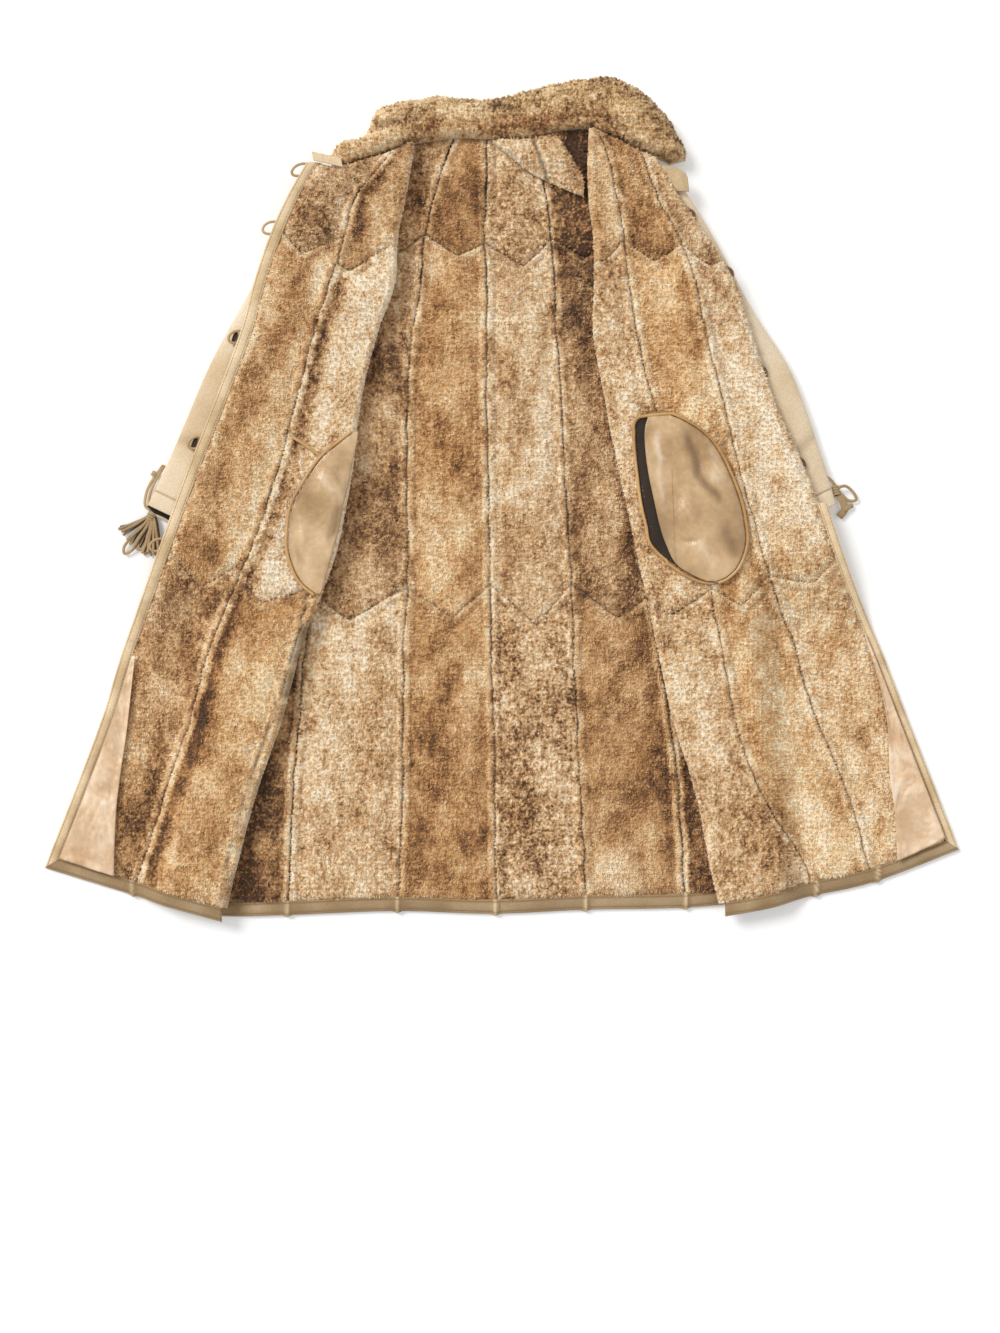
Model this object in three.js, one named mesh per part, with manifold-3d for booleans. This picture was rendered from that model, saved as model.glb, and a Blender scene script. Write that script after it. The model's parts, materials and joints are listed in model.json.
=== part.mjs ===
// A long sheepskin coat laid out open on its back, wool side up, fronts folded back.
// Millimetres, +Z up, the surface it lies on is z = 0. +X is the picture's right and
// "down" is the distance from the neck seam towards the hem, so y = NECK_Y - down.

import * as THREE from 'three';
import { mergeVertices } from 'three/addons/utils/BufferGeometryUtils.js';
import Module from 'manifold-3d';

const wasm = await Module();
wasm.setup();

// Driving dimensions

const NECK_Y = 535; // from the part's middle up to the neck seam at centre back
const SEAM_GAP = 0.3; // between two pieces that are sewn together
const CROSS_SEAM_SHIFT = 0.27; // each way from the middle of a cross seam, which runs aslant
const PELT = 10.9; // leather and wool in the middle of a panel
const PELT_AT_SEAM = 7; // the same where a seam presses the wool down
const PRESSED_SHARE = 0.12; // how much of a section a cross seam presses down
const OVER_WOOL = 0.4; // from the wool up to what lies on it
const UNDER_FLOOR = 11.5; // underside of the hidden layer of a front
const UNDER_TOP = 21.7; // top of that layer
const FRONT_FLOOR = 22.8; // underside of a folded-back front over the body
const FRONT_OVER_SLEEVE = { left: 25, right: 27.5 }; // the right has its buttons in between
const SLEEVE_ENDS = 610; // down from the neck, where the fronts start to sink
const ON_THE_FLOOR = 740; // down from the neck, where their outer parts lie on the floor
const SINK_START = 35; // out from the side fold
const SINK_END = 95;
const EDGE_BINDING = { left: 15, right: 12 }; // width of the suede binding
const HEM_BINDING = 19;
const BINDING_THICK = 7.5;
const BINDING_CLEARANCE = 1.2; // from a binding's inner edge to the panel's edge
const BINDING_FROM = { left: 46, right: 545 }; // above it the right edge rolls under
const HEM_BINDING_ENDS = { left: -410, right: 329 }; // x where it meets the folds
const LEATHER = 1.6;
const LOOP = { reach: 13, half: 9, wide: 3.6, thick: 2.2, fromEdge: 1.2, level: 0.3 };
const BUTTON = { radius: 13, thick: 2.6, inFromEdge: 22, under: 0.4 };
const PIPING = { thick: 4.6, besideBag: 0.9, overWool: 0.2 };
const STAY = { wide: 5, thick: 2.4, overWool: 1.6 };
const POCKET = { thick: 3, plump: 2.4 };
const FACING_GAP = { side: 2, hem: 1 };

// Lines that run down the coat, by their distance from the centre back in mm, one row
// for each section across it
const SECTIONS = [
  // down,  edgeL, f1,   foldL, sideL, b0,   b1,   b2,  b3,  b4,  sideR, foldR, g1,  g2,  edgeR
  [-10, -253, -137, -122, -240, -185, -65, -21, 43, 151, 240, 129, 141, 196, 226],
  [40, -282, -169, -129, -245, -196, -84, -21, 56, 154, 244, 126, 157, 209, 244],
  [100, -316, -215, -140, -250, -206, -102, -23, 69, 159, 251, 128, 171, 231, 278],
  [160, -342, -231, -151, -254, -216, -114, -24, 75, 163, 257, 135, 182, 262, 320],
  [220, -362, -251, -154, -260, -225, -119, -22, 79, 168, 263, 136, 187, 285, 356],
  [290, -381, -273, -179, -268, -235, -131, -21, 82, 173, 269, 134, 197, 298, 379],
  [390, -418, -300, -204, -293, -246, -138, -21, 88, 182, 281, 151, 222, 324, 413],
  [510, -465, -331, -219, -319, -257, -139, -19, 96, 196, 295, 175, 259, 354, 465],
  [630, -509, -374, -245, -347, -269, -138, -18, 103, 210, 309, 201, 297, 387, 506],
  [750, -556, -425, -290, -373, -288, -143, -15, 107, 232, 322, 227, 321, 432, 558],
  [860, -590, -456, -320, -395, -298, -144, -12, 112, 248, 334, 251, 343, 465, 601],
  [980, -635, -498, -361, -422, -308, -146, -9, 118, 263, 348, 287, 387, 515, 648],
  [1080, -674, -531, -387, -442, -312, -149, -8, 123, 269, 359, 306, 450, 542, 686],
  [1170, -706, -555, -409, -460, -315, -152, -7, 128, 275, 368, 327, 467, 560, 714],
];
const LINE_NAMES = ['down', 'edgeL', 'f1', 'foldL', 'sideL', 'b0', 'b1', 'b2', 'b3', 'b4',
  'sideR', 'foldR', 'g1', 'g2', 'edgeR'];

// Where the upper ends of the panels meet the collar
const NECKLINE = [
  // x,   down
  [-320, 44],
  [-268, 46],
  [-233, 51],
  [-159, 27],
  [-125, 12],
  [-69, 2],
  [-21, 3],
  [46, 0],
  [87, -9],
  [129, -10],
  [144, -3],
  [206, 28],
  [257, 47],
  [300, 66],
];

// The lower edge of each layer
const HEMS = {
  left: [[-690, 1077], [-675, 1082], [-544, 1122], [-407, 1160], [-390, 1164]],
  back: [[-462, 1150], [-403, 1154], [-316, 1152], [-154, 1146], [-10, 1150], [125, 1144],
    [273, 1141], [370, 1132]],
  right: [[310, 1154], [381, 1142], [454, 1125], [548, 1104], [678, 1055], [700, 1046]],
};

// Where the pointed seams of neighbouring strips meet each line
const JUNCTIONS = {
  // layer, upper, lower
  edgeL: ['left', 147, 614],
  f1: ['left', 154, 630],
  foldL: ['left', 128, 633],
  b0: ['back', 150, 676],
  b1: ['back', 144, 666],
  b2: ['back', 157, 662],
  b3: ['back', 151, 662],
  b4: ['back', 150, 681],
  foldR: ['right', 190, 698],
  g1: ['right', 155, 671],
  g2: ['right', 167, 649],
  edgeR: ['right', 190, 625],
};

// Sections along the coat are counted from row 0 at the neck down to the hem. Its two
// cross seams lie in the rows named here, or one row lower where a strip says so.
const ROWS = { upper: 2, lower: 9, hem: 15 };
const UPPER_STEP = 40; // from the upper seam's row to the next
const LOWER_STEP = 30; // from the lower seam's row to the next
const PULL_ROWS = 1.9; // how many rows on each side a pointed seam pulls along

// Each strip of skins: the lines it lies between, and the tips of its pointed seams.
// A tip is at one of the fractions in ACROSS.
const ACROSS = [0, 0.1, 0.28, 0.42, 0.56, 0.9, 1];
const STRIPS = [
  // name, layer, from, to, upper tip [across, down], lower tip, rows lower, fold, and
  // the tones of its yoke, body and skirt
  ['back_1', 'back', 'b0', 'b1', [0.42, 190], [0.42, 716], 0, null, ['tan', 'tan', 'tan']],
  ['back_2', 'back', 'b1', 'b2', [0.56, 178], [0.56, 713], 0, null,
    ['caramel', 'caramel', 'caramel']],
  ['back_3', 'back', 'b2', 'b3', [0.56, 193], [0.56, 723], 0, null, ['tan', 'pale', 'tan']],
  ['back_4', 'back', 'b3', 'b4', [0.56, 182], [0.56, 711], 0, null,
    ['brown', 'brown', 'golden']],
  ['left_1', 'left', 'edgeL', 'f1', [0.42, 178], [0.56, 669], 0, null,
    ['tan', 'golden', 'caramel']],
  ['left_2', 'left', 'f1', 'foldL', [0.28, 203], [0.42, 691], 1, 'to',
    ['tan', 'pale', 'golden']],
  ['right_1', 'right', 'foldR', 'g1', [0.1, 190], [0.28, 710], 0, 'from',
    ['golden', 'tan', 'tan']],
  ['right_2', 'right', 'g1', 'g2', [0.42, 191], [0.42, 694], 0, null,
    ['caramel', 'golden', 'golden']],
  ['right_3', 'right', 'g2', 'edgeR', [0.56, 198], [0.56, 663], 0, null,
    ['pale', 'pale', 'tan']],
];
const TIERS = ['yoke', 'body', 'skirt'];

// The collar, one row for each section from its left end to its right end
const COLLAR = [
  // neckX, neckDown, outerX, outerDown, height
  [-250, 43, -253, 33, 14],
  [-230, 45, -237, 12, 29],
  [-190, 33, -199, 1, 34],
  [-157, 22, -181, -37, 36],
  [-122, 8, -138, -49, 33],
  [-68, -1, -91, -57, 27],
  [-21, 0, -24, -53, 25],
  [45, -2, 40, -65, 25],
  [87, -12, 79, -76, 27],
  [129, -14, 122, -82, 32],
  [150, -4, 165, -84, 36],
  [182, 12, 212, -60, 38],
  [212, 27, 246, -23, 38],
  [234, 34, 269, 18, 34],
  [250, 42, 273, 35, 18],
];

// Sleeves lying beside the body, one row for each section from shoulder to cuff
const SLEEVES = {
  left: [
    // outerX, outerDown, innerX, innerDown
    [-278, 62, -257, 78],
    [-330, 150, -263, 175],
    [-368, 226, -275, 262],
    [-428, 337, -298, 372],
    [-482, 463, -338, 500],
    [-521, 546, -404, 602],
  ],
  right: [
    [266, 74, 256, 84],
    [318, 160, 267, 180],
    [373, 262, 278, 290],
    [428, 351, 299, 388],
    [473, 475, 348, 515],
    [494, 545, 374, 602],
  ],
};

// Pocket bags, one row for each section down them
const POCKETS = {
  left: [
    // down, fromX, toX
    [441, -214, -209],
    [459, -237, -211],
    [481, -263, -216],
    [522, -290, -224],
    [550, -304, -231],
    [587, -310, -238],
    [614, -310, -246],
    [644, -301, -254],
    [664, -288, -259],
    [678, -270, -264],
  ],
  right: [
    [416, 214, 243],
    [426, 199, 266],
    [445, 197, 295],
    [470, 198, 316],
    [506, 202, 334],
    [544, 207, 348],
    [579, 215, 355],
    [606, 222, 356],
    [637, 256, 345],
    [654, 285, 328],
    [660, 300, 313],
  ],
};

// Leather facings at the lower corners, by the side that lies on the wool
const FACINGS = {
  left: [[768, -539], [814, -544], [878, -551], [989, -566], [1078, -571]],
  right: [[735, 535], [820, 560], [870, 569], [941, 572], [1013, 581], [1050, 582]],
};

const COLOURS = {
  pale: { color: '#dcb88a', roughness: 0.95 },
  tan: { color: '#c19a68', roughness: 0.95 },
  golden: { color: '#cc9657', roughness: 0.95 },
  caramel: { color: '#ab7642', roughness: 0.95 },
  brown: { color: '#7f5a38', roughness: 0.95 },
  collar: { color: '#c8aa6e', roughness: 0.95 },
  suede: { color: '#d6c09a', roughness: 0.85 },
  binding: { color: '#9c8562', roughness: 0.85 },
  leather: { color: '#c9a883', roughness: 0.45 },
  piping: { color: '#c89c66', roughness: 0.5 },
  button: { color: '#7a5a3a', roughness: 0.6 },
};

// Smooth curves through the rows of a table

function lerp(a, b, t) {
  return a + (b - a) * t;
}

function smooth(from, to, value) {
  return THREE.MathUtils.smoothstep(value, from, to);
}

function slopeAt(rows, i, column) {
  const before = rows[Math.max(i - 1, 0)];
  const after = rows[Math.min(i + 1, rows.length - 1)];
  return (after[column] - before[column]) / (after[0] - before[0]);
}

function readTable(rows, column, key) {
  let i = 0;
  while (i < rows.length - 2 && key > rows[i + 1][0]) i += 1;
  const span = rows[i + 1][0] - rows[i][0];
  const t = THREE.MathUtils.clamp((key - rows[i][0]) / span, 0, 1);
  const start = rows[i][column];
  const end = rows[i + 1][column];
  const bendStart = slopeAt(rows, i, column) * span;
  const bendEnd = slopeAt(rows, i + 1, column) * span;
  const ease = t * t * (3 - 2 * t);
  return lerp(start, end, ease)
    + bendStart * t * (1 - t) * (1 - t) - bendEnd * t * t * (1 - t);
}

function line(name, down) {
  return readTable(SECTIONS, LINE_NAMES.indexOf(name), down);
}

// How high the underside of a folded-back front lies

function frontFloor(side, x, down) {
  const sign = side === 'left' ? -1 : 1;
  const out = sign * (x - line(side === 'left' ? 'sideL' : 'sideR', down));
  const overSleeve = lerp(FRONT_FLOOR, FRONT_OVER_SLEEVE[side], smooth(-30, 0, out));
  const overFloor = lerp(FRONT_FLOOR, 0, smooth(SINK_START, SINK_END, out));
  return lerp(overSleeve, overFloor, smooth(SLEEVE_ENDS, ON_THE_FLOOR, down));
}

function floorOf(layer, x, down) {
  return layer === 'back' ? 0 : frontFloor(layer, x, down);
}

// A closed wall between an outer and an inner grid of points [x, down, z]

function wall(outer, inner) {
  const rows = outer.length;
  const columns = outer[0].length;
  const positions = [];
  for (const grid of [outer, inner]) {
    for (const row of grid) {
      for (const [x, down, z] of row) positions.push(x, NECK_Y - down, z);
    }
  }
  const at = (i, j) => i * columns + j;
  const innerAt = (i, j) => rows * columns + at(i, j);
  const index = [];
  const quad = (a, b, c, d) => index.push(a, b, c, a, c, d);
  for (let i = 0; i < rows - 1; i += 1) {
    for (let j = 0; j < columns - 1; j += 1) {
      quad(at(i, j), at(i + 1, j), at(i + 1, j + 1), at(i, j + 1));
      quad(innerAt(i, j), innerAt(i, j + 1), innerAt(i + 1, j + 1), innerAt(i + 1, j));
    }
  }
  for (let i = 0; i < rows - 1; i += 1) {
    const last = columns - 1;
    quad(at(i, 0), innerAt(i, 0), innerAt(i + 1, 0), at(i + 1, 0));
    quad(at(i, last), at(i + 1, last), innerAt(i + 1, last), innerAt(i, last));
  }
  for (let j = 0; j < columns - 1; j += 1) {
    const last = rows - 1;
    quad(at(0, j), at(0, j + 1), innerAt(0, j + 1), innerAt(0, j));
    quad(at(last, j), innerAt(last, j), innerAt(last, j + 1), at(last, j + 1));
  }
  const geometry = new THREE.BufferGeometry();
  geometry.setAttribute('position', new THREE.Float32BufferAttribute(positions, 3));
  geometry.setIndex(index);
  return facingOut(geometry);
}

function facingOut(geometry) {
  const p = geometry.getAttribute('position');
  const index = geometry.getIndex();
  const corner = (k) => new THREE.Vector3().fromBufferAttribute(p, index.getX(k));
  let volume = 0;
  for (let k = 0; k < index.count; k += 3) {
    volume += corner(k).dot(corner(k + 1).cross(corner(k + 2)));
  }
  if (volume < 0) {
    for (let k = 0; k < index.count; k += 3) {
      const swap = index.getX(k);
      index.setX(k, index.getX(k + 1));
      index.setX(k + 1, swap);
    }
  }
  return geometry;
}

// A wall from two functions of how far across (u) and along (v) it a point is

function wallOf(across, along, outerPoint, innerPoint) {
  const grid = (point) => along.map((v) => across.map((u) => point(u, v)));
  return wall(grid(outerPoint), grid(innerPoint));
}

function steps(count) {
  return Array.from({ length: count + 1 }, (unused, i) => i / count);
}

// Joining pieces that are fused

function toSolid(geometry) {
  const bare = geometry.clone();
  bare.deleteAttribute('normal');
  bare.deleteAttribute('uv');
  const merged = mergeVertices(bare, 1e-4);
  return new wasm.Manifold(new wasm.Mesh({
    numProp: 3,
    vertProperties: new Float32Array(merged.getAttribute('position').array),
    triVerts: new Uint32Array(merged.getIndex().array),
  }));
}

function fused(geometries) {
  let solid = toSolid(geometries[0]);
  for (const geometry of geometries.slice(1)) solid = solid.add(toSolid(geometry));
  const mesh = solid.getMesh();
  const geometry = new THREE.BufferGeometry();
  geometry.setAttribute('position', new THREE.BufferAttribute(mesh.vertProperties, 3));
  geometry.setIndex(new THREE.BufferAttribute(mesh.triVerts, 1));
  return geometry;
}

const coat = new THREE.Group();

function addPiece(name, geometry, material) {
  const look = new THREE.MeshStandardMaterial({ ...COLOURS[material], metalness: 0 });
  const mesh = new THREE.Mesh(geometry, look);
  mesh.name = name;
  coat.add(mesh);
}

// Panels of skin

function lineWithInset(name, down, isFrom) {
  const x = line(name, down);
  if (name === 'edgeL') return x + EDGE_BINDING.left + BINDING_CLEARANCE + 1;
  if (name === 'edgeR') return x - EDGE_BINDING.right - BINDING_CLEARANCE - 1;
  return x + (isFrom ? SEAM_GAP / 2 : -SEAM_GAP / 2);
}

function hemAbove(layer, x) {
  return readTable(HEMS[layer], 1, x) - HEM_BINDING - BINDING_CLEARANCE;
}

const HALF_WAY = 600; // down from the neck, where the search along a line starts

function meet(name, curve) {
  let down = curve(line(name, HALF_WAY));
  for (let i = 0; i < 8; i += 1) down = curve(line(name, down));
  return down;
}

// How far down a line each row of sections meets it
function rowDown(name, row) {
  const [layer, upper, lower] = JUNCTIONS[name];
  if (row <= ROWS.upper) {
    const neck = meet(name, (x) => readTable(NECKLINE, 1, x));
    return lerp(neck, upper, row / ROWS.upper);
  }
  if (row <= ROWS.lower) {
    const first = ROWS.upper + 1;
    return lerp(upper + UPPER_STEP, lower, (row - first) / (ROWS.lower - first));
  }
  const first = ROWS.lower + 1;
  const hem = meet(name, (x) => hemAbove(layer, x));
  return lerp(lower + LOWER_STEP, hem, (row - first) / (ROWS.hem - first));
}

// A pointed seam pulls the rows beside it along, less and less
function pull(strip, row, u) {
  const seams = [
    [ROWS.upper + strip.rowsLower, strip.tips[0]],
    [ROWS.lower + strip.rowsLower, strip.tips[1]],
  ];
  let total = 0;
  for (const [seamRow, [tipAt, tipDown]] of seams) {
    const straight = lerp(rowDown(strip.from, seamRow), rowDown(strip.to, seamRow), tipAt);
    const share = u < tipAt ? u / tipAt : (1 - u) / (1 - tipAt);
    const fade = Math.max(0, 1 - Math.abs(row - seamRow) / PULL_ROWS);
    total += (tipDown - straight) * share * fade;
  }
  return total;
}

function across(strip, down, u) {
  let from = lineWithInset(strip.from, down, true);
  let to = lineWithInset(strip.to, down, false);
  if (strip.fold === 'from') from = line(strip.from, down) + FOLD_RADIUS;
  if (strip.fold === 'to') to = line(strip.to, down) - FOLD_RADIUS;
  return lerp(from, to, u);
}

function panelDown(strip, row, u) {
  const down = lerp(rowDown(strip.from, row), rowDown(strip.to, row), u);
  const x = across(strip, down, u);
  if (row === 0) return readTable(NECKLINE, 1, x);
  if (row === ROWS.hem) return hemAbove(strip.layer, x);
  return down + pull(strip, row, u);
}

const FOLD_RADIUS = (FRONT_FLOOR - 0.3 + PELT - UNDER_FLOOR) / 2;
const FOLD_LINING = 0.6;
const FOLD_TURNS = [-90, -50, -15, 20, 55];

// One section of a panel, from its one side to its other, as [x, down, low, high].
// Wool stands highest in the middle and is pressed down along the seams.
function panelSection(strip, row, shift, atSeam) {
  const section = [];
  for (const u of ACROSS) {
    const down = panelDown(strip, row, u) + shift;
    const x = across(strip, down, u);
    const low = floorOf(strip.layer, x, down);
    const pressed = (u === 0 && strip.fold !== 'from') || (u === 1 && strip.fold !== 'to');
    const high = low + (pressed || atSeam ? PELT_AT_SEAM : PELT);
    const rise = pressed || !atSeam ? 0 : PELT - PELT_AT_SEAM;
    section.push({ outer: [x, down, high], inner: [x, down, low], rise });
  }
  if (!strip.fold) return section;
  const rolled = rollOfFold(strip, section[strip.fold === 'to' ? section.length - 1 : 0]);
  return strip.fold === 'to' ? [...section, ...rolled.reverse()] : [...rolled, ...section];
}

function rollOfFold(strip, { outer: [, down] }) {
  const sign = strip.fold === 'to' ? 1 : -1;
  const middle = line(strip.fold === 'to' ? strip.to : strip.from, down) - sign * FOLD_RADIUS;
  const height = UNDER_FLOOR + FOLD_RADIUS;
  return FOLD_TURNS.map((degrees) => {
    const turn = THREE.MathUtils.degToRad(degrees);
    const point = (radius) => [
      middle + sign * radius * Math.cos(turn), down, height + radius * Math.sin(turn)];
    return { outer: point(FOLD_RADIUS), inner: point(FOLD_LINING), rise: 0 };
  });
}

// The wool is full again a short way from a cross seam
function partWay(sectionA, sectionB, share) {
  const mix = (a, b) => a.map((value, i) => lerp(value, b[i], share));
  return sectionA.map(({ outer, inner, rise }, i) => {
    const point = mix(outer, sectionB[i].outer);
    point[2] += rise * (1 - share);
    return { outer: point, inner: mix(inner, sectionB[i].inner) };
  });
}

function panel(strip, firstRow, lastRow) {
  const sections = [];
  for (let row = firstRow; row <= lastRow; row += 1) {
    let shift = 0;
    if (row === firstRow) shift = CROSS_SEAM_SHIFT;
    if (row === lastRow && row < ROWS.hem) shift = -CROSS_SEAM_SHIFT;
    sections.push(panelSection(strip, row, shift, row === firstRow || row === lastRow));
  }
  const [first, second] = sections;
  const [beforeLast, last] = sections.slice(-2);
  sections.splice(1, 0, partWay(first, second, PRESSED_SHARE));
  sections.splice(sections.length - 1, 0, partWay(last, beforeLast, PRESSED_SHARE));
  return wall(sections.map((section) => section.map((point) => point.outer)),
    sections.map((section) => section.map((point) => point.inner)));
}

for (const [name, layer, from, to, upperTip, lowerTip, rowsLower, fold, tones] of STRIPS) {
  const strip = { layer, from, to, tips: [upperTip, lowerTip], rowsLower, fold };
  const bounds = [0, ROWS.upper + rowsLower, ROWS.lower + rowsLower, ROWS.hem];
  TIERS.forEach((tier, i) => {
    addPiece(`${name}_${tier}`, panel(strip, bounds[i], bounds[i + 1]), tones[i]);
  });
}

// The outer strip of the back on each side, which the fronts mostly hide

const SIDE_TOP = 66; // down from the neck, where the outer line of these layers starts
const SIDE_END_NEAR = 1130; // down from the neck, near the back's hem
const SIDE_SECTIONS = { back: [0, 0.12, 0.88, 1], under: [0, 0.3, 0.8, 1] };
const ALL_ROWS = steps(ROWS.hem).map((share) => Math.round(share * ROWS.hem));

function downToSide(inner, side, u, row) {
  const sideEnd = hemAbove('back', line(side, SIDE_END_NEAR));
  const down = lerp(rowDown(inner, row), lerp(SIDE_TOP, sideEnd, row / ROWS.hem), u);
  if (row > 0) return down;
  const x = lerp(line(inner, down), line(side, down), u);
  return Math.max(down, readTable(NECKLINE, 1, x)) + 2;
}

function sideStrip(side) {
  const seam = side === 'left' ? 'b0' : 'b4';
  const edge = side === 'left' ? 'sideL' : 'sideR';
  const sign = side === 'left' ? -1 : 1;
  const place = (u, row) => {
    const down = downToSide(seam, edge, u, row);
    return [lerp(line(seam, down) + sign * SEAM_GAP / 2, line(edge, down), u), down];
  };
  const height = (u) => (u === 0 || u === 1 ? PELT_AT_SEAM : PELT);
  return wallOf(SIDE_SECTIONS.back, ALL_ROWS, (u, row) => [...place(u, row), height(u)],
    (u, row) => [...place(u, row), 0]);
}

// The hidden layer of each front, from the fold to the side

function underLayer(side) {
  const fold = side === 'left' ? 'foldL' : 'foldR';
  const edge = side === 'left' ? 'sideL' : 'sideR';
  const sign = side === 'left' ? -1 : 1;
  const place = (u, row) => {
    const down = downToSide(fold, edge, u, row);
    const inside = line(fold, down) + sign * (FOLD_RADIUS + SEAM_GAP);
    return [lerp(inside, line(edge, down), u), down];
  };
  const top = (u) => (u === 1 ? UNDER_TOP - 4 : UNDER_TOP);
  return wallOf(SIDE_SECTIONS.under, ALL_ROWS, (u, row) => [...place(u, row), top(u)],
    (u, row) => [...place(u, row), UNDER_FLOOR]);
}

for (const side of ['left', 'right']) {
  addPiece(`back_side_${side}`, sideStrip(side), 'brown');
  addPiece(`${side}_under_layer`, underLayer(side), 'brown');
}

// A fold of the shoulder that lies across the top of the back

const SHOULDER_FOLD = [
  // x, upper down, lower down
  [-12, 9, 13],
  [13, 7, 32],
  [44, 6, 57],
  [81, 2, 75],
  [101, 28, 84],
  [122, 62, 92],
];
const SHOULDER_EDGE = 4; // thickness at its edges, and how much more in the middle
const SHOULDER_CROWN = 6;

function shoulderPlace(u, v) {
  const x = lerp(SHOULDER_FOLD[0][0], SHOULDER_FOLD.at(-1)[0], v);
  return [x, lerp(readTable(SHOULDER_FOLD, 1, x), readTable(SHOULDER_FOLD, 2, x), u)];
}

addPiece('shoulder_fold', wallOf([0, 0.15, 0.5, 0.85, 1], steps(7), (u, v) => [
  ...shoulderPlace(u, v), UNDER_FLOOR + SHOULDER_EDGE + SHOULDER_CROWN * Math.sin(Math.PI * u)],
(u, v) => [...shoulderPlace(u, v), UNDER_FLOOR]), 'tan');

// Collar, a thick double layer of curly wool

const COLLAR_PROFILE = [
  // how far out, share of the height
  [0, 0.5],
  [0.08, 0.8],
  [0.25, 0.97],
  [0.5, 1],
  [0.78, 0.88],
  [0.93, 0.6],
  [1, 0.25],
];
addPiece('collar', wallOf(COLLAR_PROFILE, steps(24), ([out, share], v) => {
  const section = collarSection(v);
  return [lerp(section[0], section[2], out), lerp(section[1], section[3], out),
    section[4] * share];
}, ([out], v) => {
  const section = collarSection(v);
  return [lerp(section[0], section[2], out), lerp(section[1], section[3], out), 0];
}), 'collar');

function collarSection(v) {
  const rows = COLLAR.map((row, i) => [i, ...row]);
  const place = v * (rows.length - 1);
  return [1, 2, 3, 4, 5].map((column) => readTable(rows, column, place));
}

// Sleeves, each an upper and an under piece sewn along both sides

const UNDER_SLEEVE_TOP = 9.2;
const UPPER_SLEEVE_FROM = 9.6; // underside of the upper piece along its two seams
const SLEEVE_PROFILE = [
  // how far in from the outer edge, top outside, top inside, underside
  [0, 11, UPPER_SLEEVE_FROM, 3],
  [0.07, 17, UPPER_SLEEVE_FROM, 0],
  [0.24, 22.8, 13.6, 0],
  [0.5, 24, 14.8, 0],
  [0.76, 22.8, 13.6, 0],
  [0.93, 17, UPPER_SLEEVE_FROM, 0],
  [1, 11, UPPER_SLEEVE_FROM, 3],
];
const CUFF_LOWER_BY = 0.16; // share of its height that a sleeve loses at the cuff

function sleevePlace(side, out, v) {
  const rows = SLEEVES[side].map((row, i) => [i, ...row]);
  const at = v * (rows.length - 1);
  const [ox, od, ix, id] = [1, 2, 3, 4].map((column) => readTable(rows, column, at));
  return [lerp(ox, ix, out), lerp(od, id, out)];
}

function sleeveTop(side) {
  const slope = (v) => 1 - CUFF_LOWER_BY * smooth(0.85, 1, v);
  return wallOf(SLEEVE_PROFILE, steps(8), ([out, top], v) => [
    ...sleevePlace(side, out, v), top * slope(v)],
  ([out, , inside], v) => [
    ...sleevePlace(side, out, v), lerp(UPPER_SLEEVE_FROM, inside, smooth(0.1, 0.5, v))]);
}

function sleeveUnder(side) {
  return wallOf(SLEEVE_PROFILE, steps(8), ([out], v) => [
    ...sleevePlace(side, out, v), UNDER_SLEEVE_TOP],
  ([out, , , low], v) => [...sleevePlace(side, out, v), low]);
}

for (const side of ['left', 'right']) {
  addPiece(`sleeve_${side}_upper`, sleeveTop(side), 'suede');
  addPiece(`sleeve_${side}_under`, sleeveUnder(side), 'suede');
}

// Bindings: a suede strip along each front edge and on round its hem

const BINDING_PROFILE = [
  // how far in, share of the thickness
  [0, 0.55],
  [0.25, 0.95],
  [0.8, 1],
  [1, 0.75],
];

function edgeBinding(side, startDown, endDown) {
  const edge = side === 'left' ? 'edgeL' : 'edgeR';
  const sign = side === 'left' ? 1 : -1;
  const place = (u, v) => {
    const down = lerp(startDown, endDown, v);
    return [line(edge, down) + sign * u * EDGE_BINDING[side], down];
  };
  return wallOf(BINDING_PROFILE, steps(12), ([u, share], v) => {
    const [x, down] = place(u, v);
    return [x, down, floorOf(side, x, down) + BINDING_THICK * share];
  }, ([u], v) => {
    const [x, down] = place(u, v);
    return [x, down, floorOf(side, x, down)];
  });
}

function hemBinding(layer, startX, endX, count) {
  const place = (u, v) => {
    const x = lerp(startX, endX, v);
    return [x, readTable(HEMS[layer], 1, x) - u * HEM_BINDING];
  };
  return wallOf(BINDING_PROFILE, steps(count), ([u, share], v) => {
    const [x, down] = place(u, v);
    return [x, down, floorOf(layer, x, down) + BINDING_THICK * share];
  }, ([u], v) => {
    const [x, down] = place(u, v);
    return [x, down, floorOf(layer, x, down)];
  });
}

const CORNER = { left: [-675, 1081], right: [678, 1054] };
addPiece('binding_left', fused([
  edgeBinding('left', BINDING_FROM.left, CORNER.left[1] - 1),
  hemBinding('left', CORNER.left[0] + 1, HEM_BINDING_ENDS.left, 9),
]), 'binding');
addPiece('binding_right', fused([
  edgeBinding('right', BINDING_FROM.right, CORNER.right[1] - 1),
  hemBinding('right', HEM_BINDING_ENDS.right, CORNER.right[0] - 1, 11),
]), 'binding');
const BACK_HEM = 1150; // down from the neck
addPiece('binding_back_hem',
  hemBinding('back', line('sideL', BACK_HEM), line('sideR', BACK_HEM), 18), 'binding');

// The end of the neck band, a suede tab on the upper corner of the left front, and the
// suede that shows beyond the upper corner of the right front

const BAND = { from: [-277, 38], to: [-234, 48], wide: 13, thick: 2.4, aslant: 3 };
const BAND_LIFT = FRONT_OVER_SLEEVE.left + PELT - 0.7; // a little into the wool

function bandPlace(u, v) {
  return [lerp(BAND.from[0], BAND.to[0], v) + BAND.aslant * u,
    lerp(BAND.from[1], BAND.to[1], v) - BAND.wide * (0.5 - u)];
}

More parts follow.
